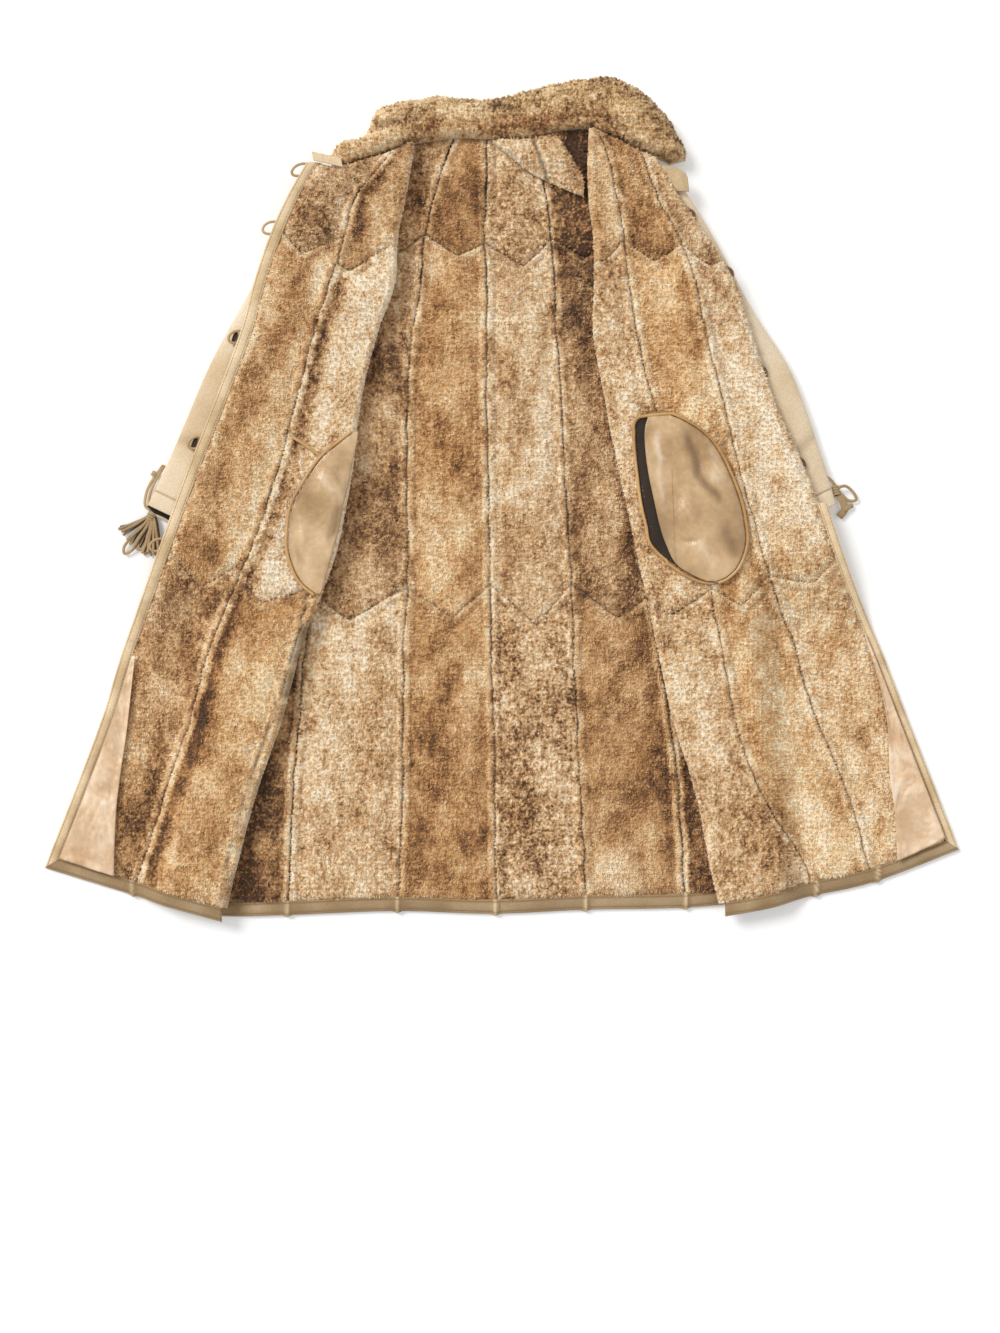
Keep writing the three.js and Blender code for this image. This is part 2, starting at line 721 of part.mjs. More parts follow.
addPiece('neck_band_end', wallOf([0, 1], steps(3),
  (u, v) => [...bandPlace(u, v), BAND_LIFT + BAND.thick],
  (u, v) => [...bandPlace(u, v), BAND_LIFT]), 'binding');

const NECK_FLAP = [
  // down, how far it reaches past the front's edge
  [52, 4],
  [62, 15],
  [74, 12],
  [88, 5],
];
const FLAP = { low: 1, high: 5, falls: 2, intoWool: 1 };

function flapPoint(u, v, height) {
  const down = lerp(NECK_FLAP[0][0], NECK_FLAP.at(-1)[0], v);
  const inset = EDGE_BINDING.right - FLAP.intoWool;
  const reach = readTable(NECK_FLAP, 1, down) + inset;
  return [line('edgeR', down) - inset + reach * u, down,
    FRONT_OVER_SLEEVE.right + height - FLAP.falls * u];
}

addPiece('neck_flap_right', wallOf([0, 0.6, 1], steps(4),
  (u, v) => flapPoint(u, v, FLAP.high), (u, v) => flapPoint(u, v, FLAP.low)), 'suede');

// Leather facings lie on the wool at the lower corner of each front

function facing(side) {
  const rows = FACINGS[side];
  const edge = side === 'left' ? 'edgeL' : 'edgeR';
  const sign = side === 'left' ? 1 : -1;
  const inset = EDGE_BINDING[side] + BINDING_CLEARANCE + FACING_GAP.side;
  const place = (u, v) => {
    const down = lerp(rows[0][0], rows.at(-1)[0], v);
    const outerX = line(edge, down) + sign * inset;
    const x = lerp(outerX, readTable(rows, 1, down), u);
    const hem = readTable(HEMS[side], 1, x) - HEM_BINDING - BINDING_CLEARANCE;
    return [x, Math.min(down, hem - FACING_GAP.hem)];
  };
  const lift = PELT + OVER_WOOL;
  return wallOf([0, 0.5, 1], steps(8), (u, v) => {
    const [x, down] = place(u, v);
    return [x, down, floorOf(side, x, down) + lift + LEATHER];
  }, (u, v) => {
    const [x, down] = place(u, v);
    return [x, down, floorOf(side, x, down) + lift];
  });
}

// Pocket bags of leather, with a piped edge and a tape that stays them to the seam

const REACH = 18; // how far around a point the panel below is looked at

function aboveWool(side, x, down) {
  const near = [-REACH, 0, REACH].map((shift) => floorOf(side, x + shift, down));
  return Math.max(...near, floorOf(side, x, down - REACH)) + PELT + OVER_WOOL;
}

function pocketBag(side) {
  const rows = POCKETS[side];
  const place = (u, v) => {
    const down = lerp(rows[0][0], rows.at(-1)[0], v);
    return [lerp(readTable(rows, 1, down), readTable(rows, 2, down), u), down];
  };
  return wallOf([0, 0.25, 0.5, 0.75, 1], steps(10), (u, v) => {
    const [x, down] = place(u, v);
    const plump = POCKET.plump * Math.sin(Math.PI * u) * Math.sin(Math.PI * v);
    return [x, down, aboveWool(side, x, down) + POCKET.thick + plump];
  }, (u, v) => {
    const [x, down] = place(u, v);
    return [x, down, aboveWool(side, x, down)];
  });
}

function tube(points, wide, thick, count) {
  const route = new THREE.CatmullRomCurve3(
    points.map(([x, down, z]) => new THREE.Vector3(x, NECK_Y - down, z)));
  const section = new THREE.Shape();
  section.absellipse(0, 0, thick / 2, wide / 2, 0, Math.PI * 2);
  return mergeVertices(withoutExtras(new THREE.ExtrudeGeometry(section, {
    steps: count, extrudePath: route, curveSegments: 3, bevelEnabled: false,
  })), 1e-4);
}

function withoutExtras(geometry) {
  geometry.deleteAttribute('normal');
  geometry.deleteAttribute('uv');
  return geometry;
}

const STAY_STARTS = { left: [-306, 448], right: [332, 442] };
const STAY_END = 2; // which point of the piping it is sewn to

function piping(side) {
  const rows = POCKETS[side];
  const outerColumn = side === 'left' ? 1 : 2;
  const sign = side === 'left' ? -1 : 1;
  const clear = PIPING.thick / 2 + PIPING.besideBag;
  const route = steps(14).map((v) => {
    const down = lerp(rows[0][0] + 3, rows.at(-1)[0] - 1, v);
    const slope = (readTable(rows, outerColumn, down + 1)
      - readTable(rows, outerColumn, down - 1)) / 2;
    const run = Math.hypot(1, slope);
    const x = readTable(rows, outerColumn, down) + sign * clear / run;
    const level = aboveWool(side, x, down) + PIPING.overWool + PIPING.thick / 2;
    return [x, down - sign * clear * slope / run, level];
  });
  const [startX, startDown] = STAY_STARTS[side];
  const start = [startX, startDown, aboveWool(side, startX, startDown) + STAY.overWool];
  const end = route[STAY_END];
  const middle = start.map((value, i) => lerp(value, end[i], 0.5));
  return fused([tube(route, PIPING.thick, PIPING.thick, 20),
    tube([start, middle, end], STAY.wide, STAY.thick, 2)]);
}

for (const side of ['left', 'right']) {
  addPiece(`facing_${side}`, facing(side), 'leather');
  addPiece(`pocket_bag_${side}`, pocketBag(side), 'leather');
  addPiece(`pocket_piping_${side}`, piping(side), 'piping');
}

// Button loops on the left edge, and the buttons under the right one

const LOOP_DOWN = [56, 141, 301, 456, 606];
LOOP_DOWN.forEach((down, i) => {
  const edge = (at) => line('edgeL', at);
  const slope = (edge(down + 5) - edge(down - 5)) / 10;
  const level = floorOf('left', edge(down), down) + BINDING_THICK * LOOP.level;
  const arc = steps(6).map((t) => {
    const turn = Math.PI * t;
    const along = -LOOP.half * Math.cos(turn);
    const reach = LOOP.fromEdge + LOOP.reach * Math.sin(turn);
    return [edge(down) + slope * along - reach, down + along, level];
  });
  addPiece(`button_loop_${i + 1}`, tube(arc, LOOP.thick, LOOP.wide, 8), 'binding');
});

const BUTTON_DOWN = [125, 210, 355, 490, 640];
BUTTON_DOWN.forEach((down, i) => {
  const x = line('edgeR', down) - BUTTON.inFromEdge;
  const reach = [-BUTTON.radius, 0, BUTTON.radius];
  const lows = reach.flatMap((a) => reach.map((b) => floorOf('right', x + a, down + b)));
  const disc = new THREE.CylinderGeometry(BUTTON.radius, BUTTON.radius, BUTTON.thick, 16);
  disc.rotateX(Math.PI / 2);
  disc.translate(x, NECK_Y - down, Math.min(...lows) - BUTTON.under - BUTTON.thick / 2);
  addPiece(`button_${i + 1}`, mergeVertices(withoutExtras(disc), 1e-4), 'button');
});

// The cuff lace of the left sleeve, which ends in a tassel of leather strands

const TASSEL_HEAD = [-514.5, 558];
const TASSEL_HEAD_SIZE = [9, 7, 4.4]; // half sizes
const TASSEL_HEAD_HEIGHT = 4.8;
const STRANDS = [
  // tipX, tipDown, bow sideways, height at the tip
  [-566, 581, 5, 3],
  [-561, 585, 2, 6],
  [-559, 590, -2, 3],
  [-553, 597, 4, 6],
  [-549, 604, -3, 3],
  [-545, 613, 3, 6],
  [-538, 612, -2, 3],
  [-531, 617, 3, 6],
  [-527, 620, -3, 3],
  [-522, 616, 2, 6],
  [-518, 621, -2, 3],
  [-514, 618, 2, 6],
  [-510, 621, -2, 3],
  [-506, 613, 2, 6],
];
const STRAND_LOOPS = [
  // farX, farDown, half width
  [-557, 617, 6],
  [-534, 611, 5],
];

function tassel() {
  const [headX, headDown] = TASSEL_HEAD;
  const head = new THREE.SphereGeometry(1, 10, 6);
  head.scale(...TASSEL_HEAD_SIZE);
  head.translate(headX, NECK_Y - headDown, TASSEL_HEAD_HEIGHT);
  const parts = [head];
  for (const [tipX, tipDown, bow, height] of STRANDS) {
    const root = [lerp(headX, tipX, 0.04), lerp(headDown, tipDown, 0.04), 4.6];
    const middle = [lerp(headX, tipX, 0.5) + bow, lerp(headDown, tipDown, 0.5), height + 1.4];
    parts.push(ribbon([root, middle, [tipX, tipDown, height]]));
  }
  for (const [farX, farDown, half] of STRAND_LOOPS) {
    const away = new THREE.Vector2(farX - headX, farDown - headDown).normalize();
    const aside = (t, w, z) => [
      lerp(headX, farX, t) - away.y * w, lerp(headDown, farDown, t) + away.x * w, z];
    parts.push(ribbon([aside(0.05, -1.5, 4.4), aside(0.55, -half * 0.7, 4),
      aside(0.9, -half, 3), aside(1, 0, 3), aside(0.9, half, 3),
      aside(0.55, half * 0.7, 4), aside(0.05, 1.5, 4.4)]));
  }
  const lace = [[headX - 2, headDown - 4, 5], [-527, 548, 5.2], [-520, 520, 6],
    [-497, 486, 7]];
  parts.push(ribbon(lace));
  return fused(parts);
}

const RIBBON = { thick: 0.9, wide: 1.7 }; // half sizes of a leather lace

function ribbon(points) {
  const route = new THREE.CatmullRomCurve3(
    points.map(([x, down, z]) => new THREE.Vector3(x, NECK_Y - down, z)));
  const section = new THREE.Shape();
  section.moveTo(-RIBBON.thick, -RIBBON.wide);
  section.lineTo(RIBBON.thick, -RIBBON.wide);
  section.lineTo(RIBBON.thick, RIBBON.wide);
  section.lineTo(-RIBBON.thick, RIBBON.wide);
  section.closePath();
  return mergeVertices(withoutExtras(new THREE.ExtrudeGeometry(section, {
    steps: points.length + 1, extrudePath: route, bevelEnabled: false,
  })), 1e-4);
}

// The lace and the folded strap that show past the cuff of the right sleeve

const RIGHT_LACE = [
  [497, 520, 10], [509, 518, 9], [521, 528, 7], [525, 538, 5], [514, 539, 5],
  [504, 531, 7], [497, 524, 9],
];
const RIGHT_STRAP = [
  [499, 530, 8], [505, 541, 7], [508, 552, 5], [500, 563, 4],
];
const STRAP = { wide: 11, thick: 3 };
const KNOT_SIZE = [5, 8, 4]; // half sizes
const KNOT_FROM_LACE = [-2, -6]; // across and up
const KNOT_HEIGHT = 8;

function rightLace() {
  const [startX, startDown] = RIGHT_LACE[0];
  const knot = new THREE.SphereGeometry(1, 8, 6);
  knot.scale(...KNOT_SIZE);
  const [aside, below] = KNOT_FROM_LACE;
  knot.translate(startX + aside, NECK_Y - startDown + below, KNOT_HEIGHT);
  const strap = tube(RIGHT_STRAP, STRAP.wide, STRAP.thick, 6);
  return fused([knot, ribbon(RIGHT_LACE), strap]);
}

addPiece('cuff_tassel_left', tassel(), 'suede');
addPiece('cuff_lace_right', rightLace(), 'suede');

// The part's origin is in the middle of its outline, on the floor

const box = new THREE.Box3().setFromObject(coat);
const middle = box.getCenter(new THREE.Vector3());
coat.position.set(-middle.x, -middle.y, 0);

export default coat;
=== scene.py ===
# %% [markdown]
# # A long sheepskin coat, laid out open
# The coat lies on its back with the wool side up, and both fronts are folded back.
# Every panel of skin is one mesh: a suede side below, a wool side above, and short
# locks of wool that grow out of it. The frame gives the solids that each piece
# replaces, so the tables below repeat the coat's own sizes, in millimetres.

# %% Load the frame
import json
import math

import bmesh
import bpy
import numpy as np
from mathutils import Matrix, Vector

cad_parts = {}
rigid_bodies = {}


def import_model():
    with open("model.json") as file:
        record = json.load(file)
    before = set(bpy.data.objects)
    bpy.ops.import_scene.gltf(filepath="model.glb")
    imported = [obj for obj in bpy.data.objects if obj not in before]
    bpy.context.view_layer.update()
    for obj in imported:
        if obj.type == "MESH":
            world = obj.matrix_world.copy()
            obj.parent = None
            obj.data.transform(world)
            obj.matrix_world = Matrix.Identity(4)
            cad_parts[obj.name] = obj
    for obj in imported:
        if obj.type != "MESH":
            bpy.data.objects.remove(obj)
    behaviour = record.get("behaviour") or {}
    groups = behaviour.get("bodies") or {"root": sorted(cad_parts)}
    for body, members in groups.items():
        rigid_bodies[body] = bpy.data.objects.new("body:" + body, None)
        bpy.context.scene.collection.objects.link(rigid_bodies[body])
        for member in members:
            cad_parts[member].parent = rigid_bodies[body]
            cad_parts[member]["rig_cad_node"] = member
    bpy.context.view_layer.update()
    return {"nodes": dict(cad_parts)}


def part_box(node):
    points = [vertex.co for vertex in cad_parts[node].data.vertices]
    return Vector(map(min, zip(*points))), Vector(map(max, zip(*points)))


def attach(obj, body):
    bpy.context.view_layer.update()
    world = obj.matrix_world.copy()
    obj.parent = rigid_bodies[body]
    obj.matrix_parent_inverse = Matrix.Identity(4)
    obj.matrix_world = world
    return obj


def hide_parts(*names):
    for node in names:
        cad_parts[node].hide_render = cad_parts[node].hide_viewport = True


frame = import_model()
rng = np.random.default_rng(7)
scene = bpy.context.scene
print("solids in the frame:", len(frame["nodes"]))

# %% [markdown]
# ## Camera and light
# The photograph looks straight down from high above, so the outline hardly changes
# with height. A soft sun from the upper left shows the relief of the wool evenly over
# the whole length, and the bright room keeps its shadows open.

# %% Camera
VIEW = {"centre": (-0.0030, -0.2470), "height": 2.7416, "lens": 50.0, "sensor": 36.0}

bpy.ops.object.camera_add(location=(*VIEW["centre"], VIEW["height"]))
camera = bpy.context.object
camera.data.lens = VIEW["lens"]
camera.data.sensor_width = VIEW["sensor"]
camera.data.sensor_height = VIEW["sensor"]
camera.data.sensor_fit = "AUTO"
scene.camera = camera


# %% Lights and floor
def soft_sun(name, place, strength, angle, colour):
    """A sun that shines from the direction of place, as soft as its angle is wide."""
    bpy.ops.object.light_add(type="SUN", location=place)
    lamp = bpy.context.object
    lamp.name = name
    lamp.data.energy = strength
    lamp.data.angle = math.radians(angle)
    lamp.data.color = colour
    towards = -np.array(place, float)
    lamp.rotation_euler = (
        math.atan2(math.hypot(towards[0], towards[1]), -towards[2]),
        0.0,
        math.atan2(towards[1], towards[0]) - math.pi / 2,
    )


soft_sun("key light", (-1.6, 1.3, 1.7), 2.1, 24, (1.0, 0.98, 0.95))
soft_sun("fill light", (1.8, -0.6, 2.4), 0.35, 60, (0.96, 0.98, 1.0))

world = bpy.data.worlds.new("studio")
scene.world = world
world.use_nodes = True
room = world.node_tree.nodes["Background"]
room.inputs["Color"].default_value = (1, 1, 1, 1)
room.inputs["Strength"].default_value = 0.55
scene.view_settings.view_transform = "Standard"

FLOOR_SIZE, FLOOR_DROP = 60, 0.0008  # the coat lies a hair above it
bpy.ops.mesh.primitive_plane_add(size=FLOOR_SIZE, location=(0, 0, -FLOOR_DROP))
floor = bpy.context.object
floor.name = "studio_floor"
paper = bpy.data.materials.new("white_paper")
paper.use_nodes = True
white = paper.node_tree.nodes["Principled BSDF"]
white.inputs["Base Color"].default_value = (0.93, 0.93, 0.93, 1)
white.inputs["Roughness"].default_value = 0.9
# a little light from the paper itself keeps its shadows pale
white.inputs["Emission Color"].default_value = (1, 1, 1, 1)
white.inputs["Emission Strength"].default_value = 0.12
floor.data.materials.append(paper)

# %% [markdown]
# ## The coat's own tables
# Lines run down the coat from the neck to the hem, and each panel lies between two of
# them. A smooth curve through the rows of a table gives every place in between.

# %% Sizes in millimetres
NECK_Y = 535.0  # from the middle of the outline up to the neck seam
MIDDLE = (-1.5, 2.213)  # moves the tables' own middle to the frame's
SEAM_GAP = 0.3  # between two skins
PELT = 10.9  # leather and wool in the middle of a panel
UNDER_FLOOR, UNDER_TOP = 11.5, 21.7  # the hidden layer of each front
FRONT_FLOOR = 22.8  # underside of a folded-back front over the body
FRONT_OVER_SLEEVE = {"left": 25.0, "right": 27.5}
SLEEVE_ENDS, ON_THE_FLOOR = 610.0, 740.0  # down: there a front's edge sinks to the floor
SINK_START, SINK_END = 35.0, 95.0  # past the side of the body: the way that it sinks
EDGE_BINDING = {"left": 15.0, "right": 12.0}  # width
HEM_BINDING = 19.0
BINDING_THICK = 7.5
BINDING_CLEARANCE = 1.2
RIGHT_BINDING_FROM = 545.0  # down: above it the rolled edge hides the binding
FRONT_EDGE = {"left": ("edgeL", 1), "right": ("edgeR", -1)}  # line, and the way inwards
FOLD_RADIUS = (FRONT_FLOOR - SEAM_GAP + PELT - UNDER_FLOOR) / 2
FOLD_LINING = 0.6  # radius of the suede side inside the fold
WOOL_START = 2.2  # the locks start this far under the top of the solids

LINE_NAMES = ["down", "edgeL", "f1", "foldL", "sideL", "b0", "b1", "b2", "b3", "b4",
              "sideR", "foldR", "g1", "g2", "edgeR"]
SECTIONS = [
    # down, edgeL, f1, foldL, sideL, b0, b1, b2, b3, b4, sideR, foldR, g1, g2, edgeR
    [-10, -253, -137, -122, -240, -185, -65, -21, 43, 151, 240, 129, 141, 196, 226],
    [40, -282, -169, -129, -245, -196, -84, -21, 56, 154, 244, 126, 157, 209, 244],
    [100, -316, -215, -140, -250, -206, -102, -23, 69, 159, 251, 128, 171, 231, 278],
    [160, -342, -231, -151, -254, -216, -114, -24, 75, 163, 257, 135, 182, 262, 320],
    [220, -362, -251, -154, -260, -225, -119, -22, 79, 168, 263, 136, 187, 285, 356],
    [290, -381, -273, -179, -268, -235, -131, -21, 82, 173, 269, 134, 197, 298, 379],
    [390, -418, -300, -204, -293, -246, -138, -21, 88, 182, 281, 151, 222, 324, 413],
    [510, -465, -331, -219, -319, -257, -139, -19, 96, 196, 295, 175, 259, 354, 465],
    [630, -509, -374, -245, -347, -269, -138, -18, 103, 210, 309, 201, 297, 387, 506],
    [750, -556, -425, -290, -373, -288, -143, -15, 107, 232, 322, 227, 321, 432, 558],
    [860, -590, -456, -320, -395, -298, -144, -12, 112, 248, 334, 251, 343, 465, 601],
    [980, -635, -498, -361, -422, -308, -146, -9, 118, 263, 348, 287, 387, 515, 648],
    [1080, -674, -531, -387, -442, -312, -149, -8, 123, 269, 359, 306, 450, 542, 686],
    [1170, -706, -555, -409, -460, -315, -152, -7, 128, 275, 368, 327, 467, 560, 714],
]
NECKLINE = [
    # across, down
    [-320, 44], [-268, 46], [-233, 51], [-159, 27], [-125, 12], [-69, 2], [-21, 3],
    [46, 0], [87, -9], [129, -10], [144, -3], [206, 28], [257, 47], [300, 66],
]
HEMS = {
    # across, down
    "left": [[-690, 1077], [-675, 1082], [-544, 1122], [-407, 1160], [-390, 1164]],
    "back": [[-462, 1150], [-403, 1154], [-316, 1152], [-154, 1146], [-10, 1150],
             [125, 1144], [273, 1141], [370, 1132]],
    "right": [[310, 1154], [381, 1142], [454, 1125], [548, 1104], [678, 1055],
              [700, 1046]],
}
JUNCTIONS = {
    # line: where the upper and the lower pointed seams meet it
    "edgeL": (147, 614), "f1": (154, 630), "foldL": (128, 633), "b0": (150, 676),
    "b1": (144, 666), "b2": (157, 662), "b3": (151, 662), "b4": (150, 681),
    "foldR": (190, 698), "g1": (155, 671), "g2": (167, 649), "edgeR": (190, 625),
}
UPPER_ROW, LOWER_ROW, HEM_ROW = 2, 9, 15
UPPER_STEP, LOWER_STEP = 40, 30  # from a pointed seam down to the row below it
PULL_ROWS = 1.9  # how many rows a pointed seam pulls along
STRIPS = [
    # name, layer, from, to, upper tip [across, down], lower tip, rows lower, fold
    ["back_1", "back", "b0", "b1", (0.42, 190), (0.42, 716), 0, None],
    ["back_2", "back", "b1", "b2", (0.56, 178), (0.56, 713), 0, None],
    ["back_3", "back", "b2", "b3", (0.56, 193), (0.56, 723), 0, None],
    ["back_4", "back", "b3", "b4", (0.56, 182), (0.56, 711), 0, None],
    ["left_1", "left", "edgeL", "f1", (0.42, 178), (0.56, 669), 0, None],
    ["left_2", "left", "f1", "foldL", (0.28, 203), (0.42, 691), 1, "to"],
    ["right_1", "right", "foldR", "g1", (0.1, 190), (0.28, 710), 0, "from"],
    ["right_2", "right", "g1", "g2", (0.42, 191), (0.42, 694), 0, None],
    ["right_3", "right", "g2", "edgeR", (0.56, 198), (0.56, 663), 0, None],
]
TIERS = ["yoke", "body", "skirt"]


# %% Curves through the tables
def lerp(a, b, t):
    return a + (b - a) * t


def smooth(start, end, value):
    """A soft step from 0 at the start to 1 at the end."""
    t = np.clip((np.asarray(value, float) - start) / (end - start), 0, 1)
    return t * t * (3 - 2 * t)


def bell(distance, width):
    return np.exp(-(distance / width) ** 2)


def read_table(rows, column, key):
    """A smooth curve through one column of a table whose first column is the key."""
    table = np.asarray(rows, float)
    key = np.asarray(key, float)
    keys, values = table[:, 0], table[:, column]
    place = np.arange(len(keys))
    before, after = np.maximum(place - 1, 0), np.minimum(place + 1, len(keys) - 1)
    slopes = (values[after] - values[before]) / (keys[after] - keys[before])
    i = np.clip(np.searchsorted(keys, key) - 1, 0, len(keys) - 2)
    span = keys[i + 1] - keys[i]
    t = np.clip((key - keys[i]) / span, 0, 1)
    ease = t * t * (3 - 2 * t)
    bend = slopes[i] * span * t * (1 - t) ** 2 - slopes[i + 1] * span * t * t * (1 - t)
    return lerp(values[i], values[i + 1], ease) + bend


def line(name, down):
    return read_table(SECTIONS, LINE_NAMES.index(name), down)


def front_floor(side, x, down):
    """How high the underside of a folded-back front lies."""
    sign = -1 if side == "left" else 1
    out = sign * (x - line("sideL" if side == "left" else "sideR", down))
    over_sleeve = lerp(FRONT_FLOOR, FRONT_OVER_SLEEVE[side], smooth(-30, 0, out))
    over_floor = lerp(FRONT_FLOOR, 0, smooth(SINK_START, SINK_END, out))
    return lerp(over_sleeve, over_floor, smooth(SLEEVE_ENDS, ON_THE_FLOOR, down))


def floor_of(layer, x, down):
    """How high the underside of a layer lies."""
    return np.zeros_like(x) if layer == "back" else front_floor(layer, x, down)


# %% [markdown]
# ## Where the rows of a panel lie
# Sections across the coat are counted from row 0 at the neck to row 15 at the hem.
# A pointed seam, where two skins meet, pulls the rows beside it along.

# %% Rows and pointed seams
LAYER = {"edgeL": "left", "f1": "left", "foldL": "left", "edgeR": "right",
         "foldR": "right", "g1": "right", "g2": "right"}


def hem_above(layer, x):
    return read_table(HEMS[layer], 1, x) - HEM_BINDING - BINDING_CLEARANCE


def meet(name, curve):
    """How far down a line crosses a curve across the coat."""
    down = curve(line(name, 600.0))
    for _ in range(8):
        down = curve(line(name, down))
    return float(down)


def row_down(name, row):
    """How far down a row meets a line."""
    upper, lower = JUNCTIONS[name]
    if row <= UPPER_ROW:
        neck = meet(name, lambda x: read_table(NECKLINE, 1, x))
        return lerp(neck, upper, row / UPPER_ROW)
    if row <= LOWER_ROW:
        first = UPPER_ROW + 1
        return lerp(upper + UPPER_STEP, lower, (row - first) / (LOWER_ROW - first))
    first = LOWER_ROW + 1
    hem = meet(name, lambda x: hem_above(LAYER.get(name, "back"), x))
    return lerp(lower + LOWER_STEP, hem, (row - first) / (HEM_ROW - first))


def pull(strip, row, u):
    """How far the tips of the two pointed seams move a row."""
    total = 0
    for base_row, (tip_at, tip_down) in zip((UPPER_ROW, LOWER_ROW), strip["tips"]):
        seam_row = base_row + strip["lower"]
        straight = lerp(row_down(strip["from"], seam_row),
                        row_down(strip["to"], seam_row), tip_at)
        share = np.where(u < tip_at, u / tip_at, (1 - u) / (1 - tip_at))
        fade = max(0.0, 1 - abs(row - seam_row) / PULL_ROWS)
        total = total + (tip_down - straight) * share * fade
    return total


def line_inset(name, down, is_from):
    """Where the skin beside a line starts or ends."""
    x = line(name, down)
    for side, (edge, inwards) in FRONT_EDGE.items():
        if name == edge:
            return x + inwards * (EDGE_BINDING[side] + BINDING_CLEARANCE + 1)
    return x + (SEAM_GAP / 2 if is_from else -SEAM_GAP / 2)


def across(strip, down, u):
    """Places across a strip, u from 0 on its first line to 1 on its second."""
    start = line_inset(strip["from"], down, True)
    end = line_inset(strip["to"], down, False)
    if strip["fold"] == "from":
        start = line(strip["from"], down) + FOLD_RADIUS
    if strip["fold"] == "to":
        end = line(strip["to"], down) - FOLD_RADIUS
    return lerp(start, end, u)


def panel_down(strip, row, u):
    """How far down the points of a strip's row lie."""
    down = lerp(row_down(strip["from"], row), row_down(strip["to"], row), u)
    x = across(strip, down, u)
    if row == 0:
        return read_table(NECKLINE, 1, x)
    if row == HEM_ROW:
        return hem_above(strip["layer"], x)
    return down + pull(strip, row, u)


strips = [
    {"name": name, "layer": layer, "from": start, "to": end, "tips": (upper, lower),
     "lower": rows_lower, "fold": fold}
    for name, layer, start, end, upper, lower, rows_lower, fold in STRIPS
]
print("strips of skins:", ", ".join(strip["name"] for strip in strips))

# %% [markdown]
# ## Making a sheet of skin
# A sheet is a closed mesh: a grid of points on its wool side, the same grid on its
# suede side, and a rim between them. What the material needs to know about the wool
# is kept on the points: how dark it is, how warm its colour is, how near a seam it
# lies and how curly it grows.


# %% From grids of points to a mesh
def metres(grid):
    """Points [across, down, height] in millimetres, moved into the frame."""
    grid = np.asarray(grid, float)
    return np.stack([grid[..., 0] + MIDDLE[0], NECK_Y - grid[..., 1] + MIDDLE[1],
                     grid[..., 2]], axis=-1) / 1000


def scatter(i, j, salt):
    """A repeatable value from 0 to 1 for each pair of whole numbers."""
    value = np.sin(i * 127.1 + j * 311.7 + salt * 74.7) * 43758.5453
    return value - np.floor(value)


def cloud(x, y, size, salt):
    """Soft random values from -1 to 1, with spots about size millimetres across."""
    gx, gy = np.asarray(x) / size, np.asarray(y) / size
    i, j = np.floor(gx), np.floor(gy)
    tx, ty = gx - i, gy - j
    tx, ty = tx * tx * (3 - 2 * tx), ty * ty * (3 - 2 * ty)
    near = lerp(scatter(i, j, salt), scatter(i + 1, j, salt), tx)
    far = lerp(scatter(i, j + 1, salt), scatter(i + 1, j + 1, salt), tx)
    return lerp(near, far, ty) * 2 - 1


def corners(grid):
    """The four corners of each square of a grid, as four grids."""
    return grid[:-1, :-1], grid[1:, :-1], grid[1:, 1:], grid[:-1, 1:]


def closed_sheet(name, top, bottom, materials, traits=None, around=False):
    """A mesh between two grids of points, top in the first material and the rest in
    the last one. With around, each row is a ring."""
    rows, columns = top.shape[:2]
    points = np.concatenate([metres(top).reshape(-1, 3), metres(bottom).reshape(-1, 3)])
    at = np.arange(rows * columns).reshape(rows, columns)
    if around:
        at = np.concatenate([at, at[:, :1]], axis=1)
    under = at + rows * columns
    a, b, c, d = corners(under)
    quads = [np.stack(corners(at), -1), np.stack([a, d, c, b], -1),
             np.stack([at[0, :-1], at[0, 1:], under[0, 1:], under[0, :-1]], -1),
             np.stack([at[-1, 1:], at[-1, :-1], under[-1, :-1], under[-1, 1:]], -1)]
    if not around:
        quads += [np.stack([at[1:, 0], at[:-1, 0], under[:-1, 0], under[1:, 0]], -1),
                  np.stack([at[:-1, -1], at[1:, -1], under[1:, -1], under[:-1, -1]], -1)]
    faces = np.concatenate([quad.reshape(-1, 4) for quad in quads])
    piece = mesh_piece(name, points, faces, materials)
    count = quads[0].size // 4
    kinds = np.zeros(len(faces), dtype=np.int32)
    kinds[count:] = len(materials) - 1
    piece.data.polygons.foreach_set("material_index", kinds)
    if volume_of(piece) < 0:
        piece.data.flip_normals()
    for trait, values in (traits or {}).items():
        both = np.concatenate([np.broadcast_to(values, top.shape[:2]).ravel()] * 2)
        set_trait(piece, trait, both)
    return piece


def mesh_piece(name, points, faces, materials):
    """A smooth piece from arrays of points and of faces with equally many corners."""
    mesh = bpy.data.meshes.new(name)
    mesh.vertices.add(len(points))
    mesh.vertices.foreach_set("co", np.asarray(points, np.float32).ravel())
    mesh.loops.add(faces.size)
    mesh.loops.foreach_set("vertex_index", faces.astype(np.int32).ravel())
    mesh.polygons.add(len(faces))
    starts = np.arange(0, faces.size, faces.shape[1], dtype=np.int32)
    mesh.polygons.foreach_set("loop_start", starts)
    mesh.update(calc_edges=True)
    mesh.polygons.foreach_set("use_smooth", np.ones(len(faces), dtype=bool))
    for material in materials:
        mesh.materials.append(material)
    piece = bpy.data.objects.new(name, mesh)
    scene.collection.objects.link(piece)
    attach(piece, "root")
    return piece


def set_trait(piece, trait, values):
    """Keeps one number on each point of a piece, for its material."""
    attribute = piece.data.attributes.new(trait, "FLOAT", "POINT")
    attribute.data.foreach_set("value", np.asarray(values, np.float32).ravel())


def volume_of(piece):
    shape = bmesh.new()
    shape.from_mesh(piece.data)
    volume = shape.calc_volume(signed=True)
    shape.free()
    return volume

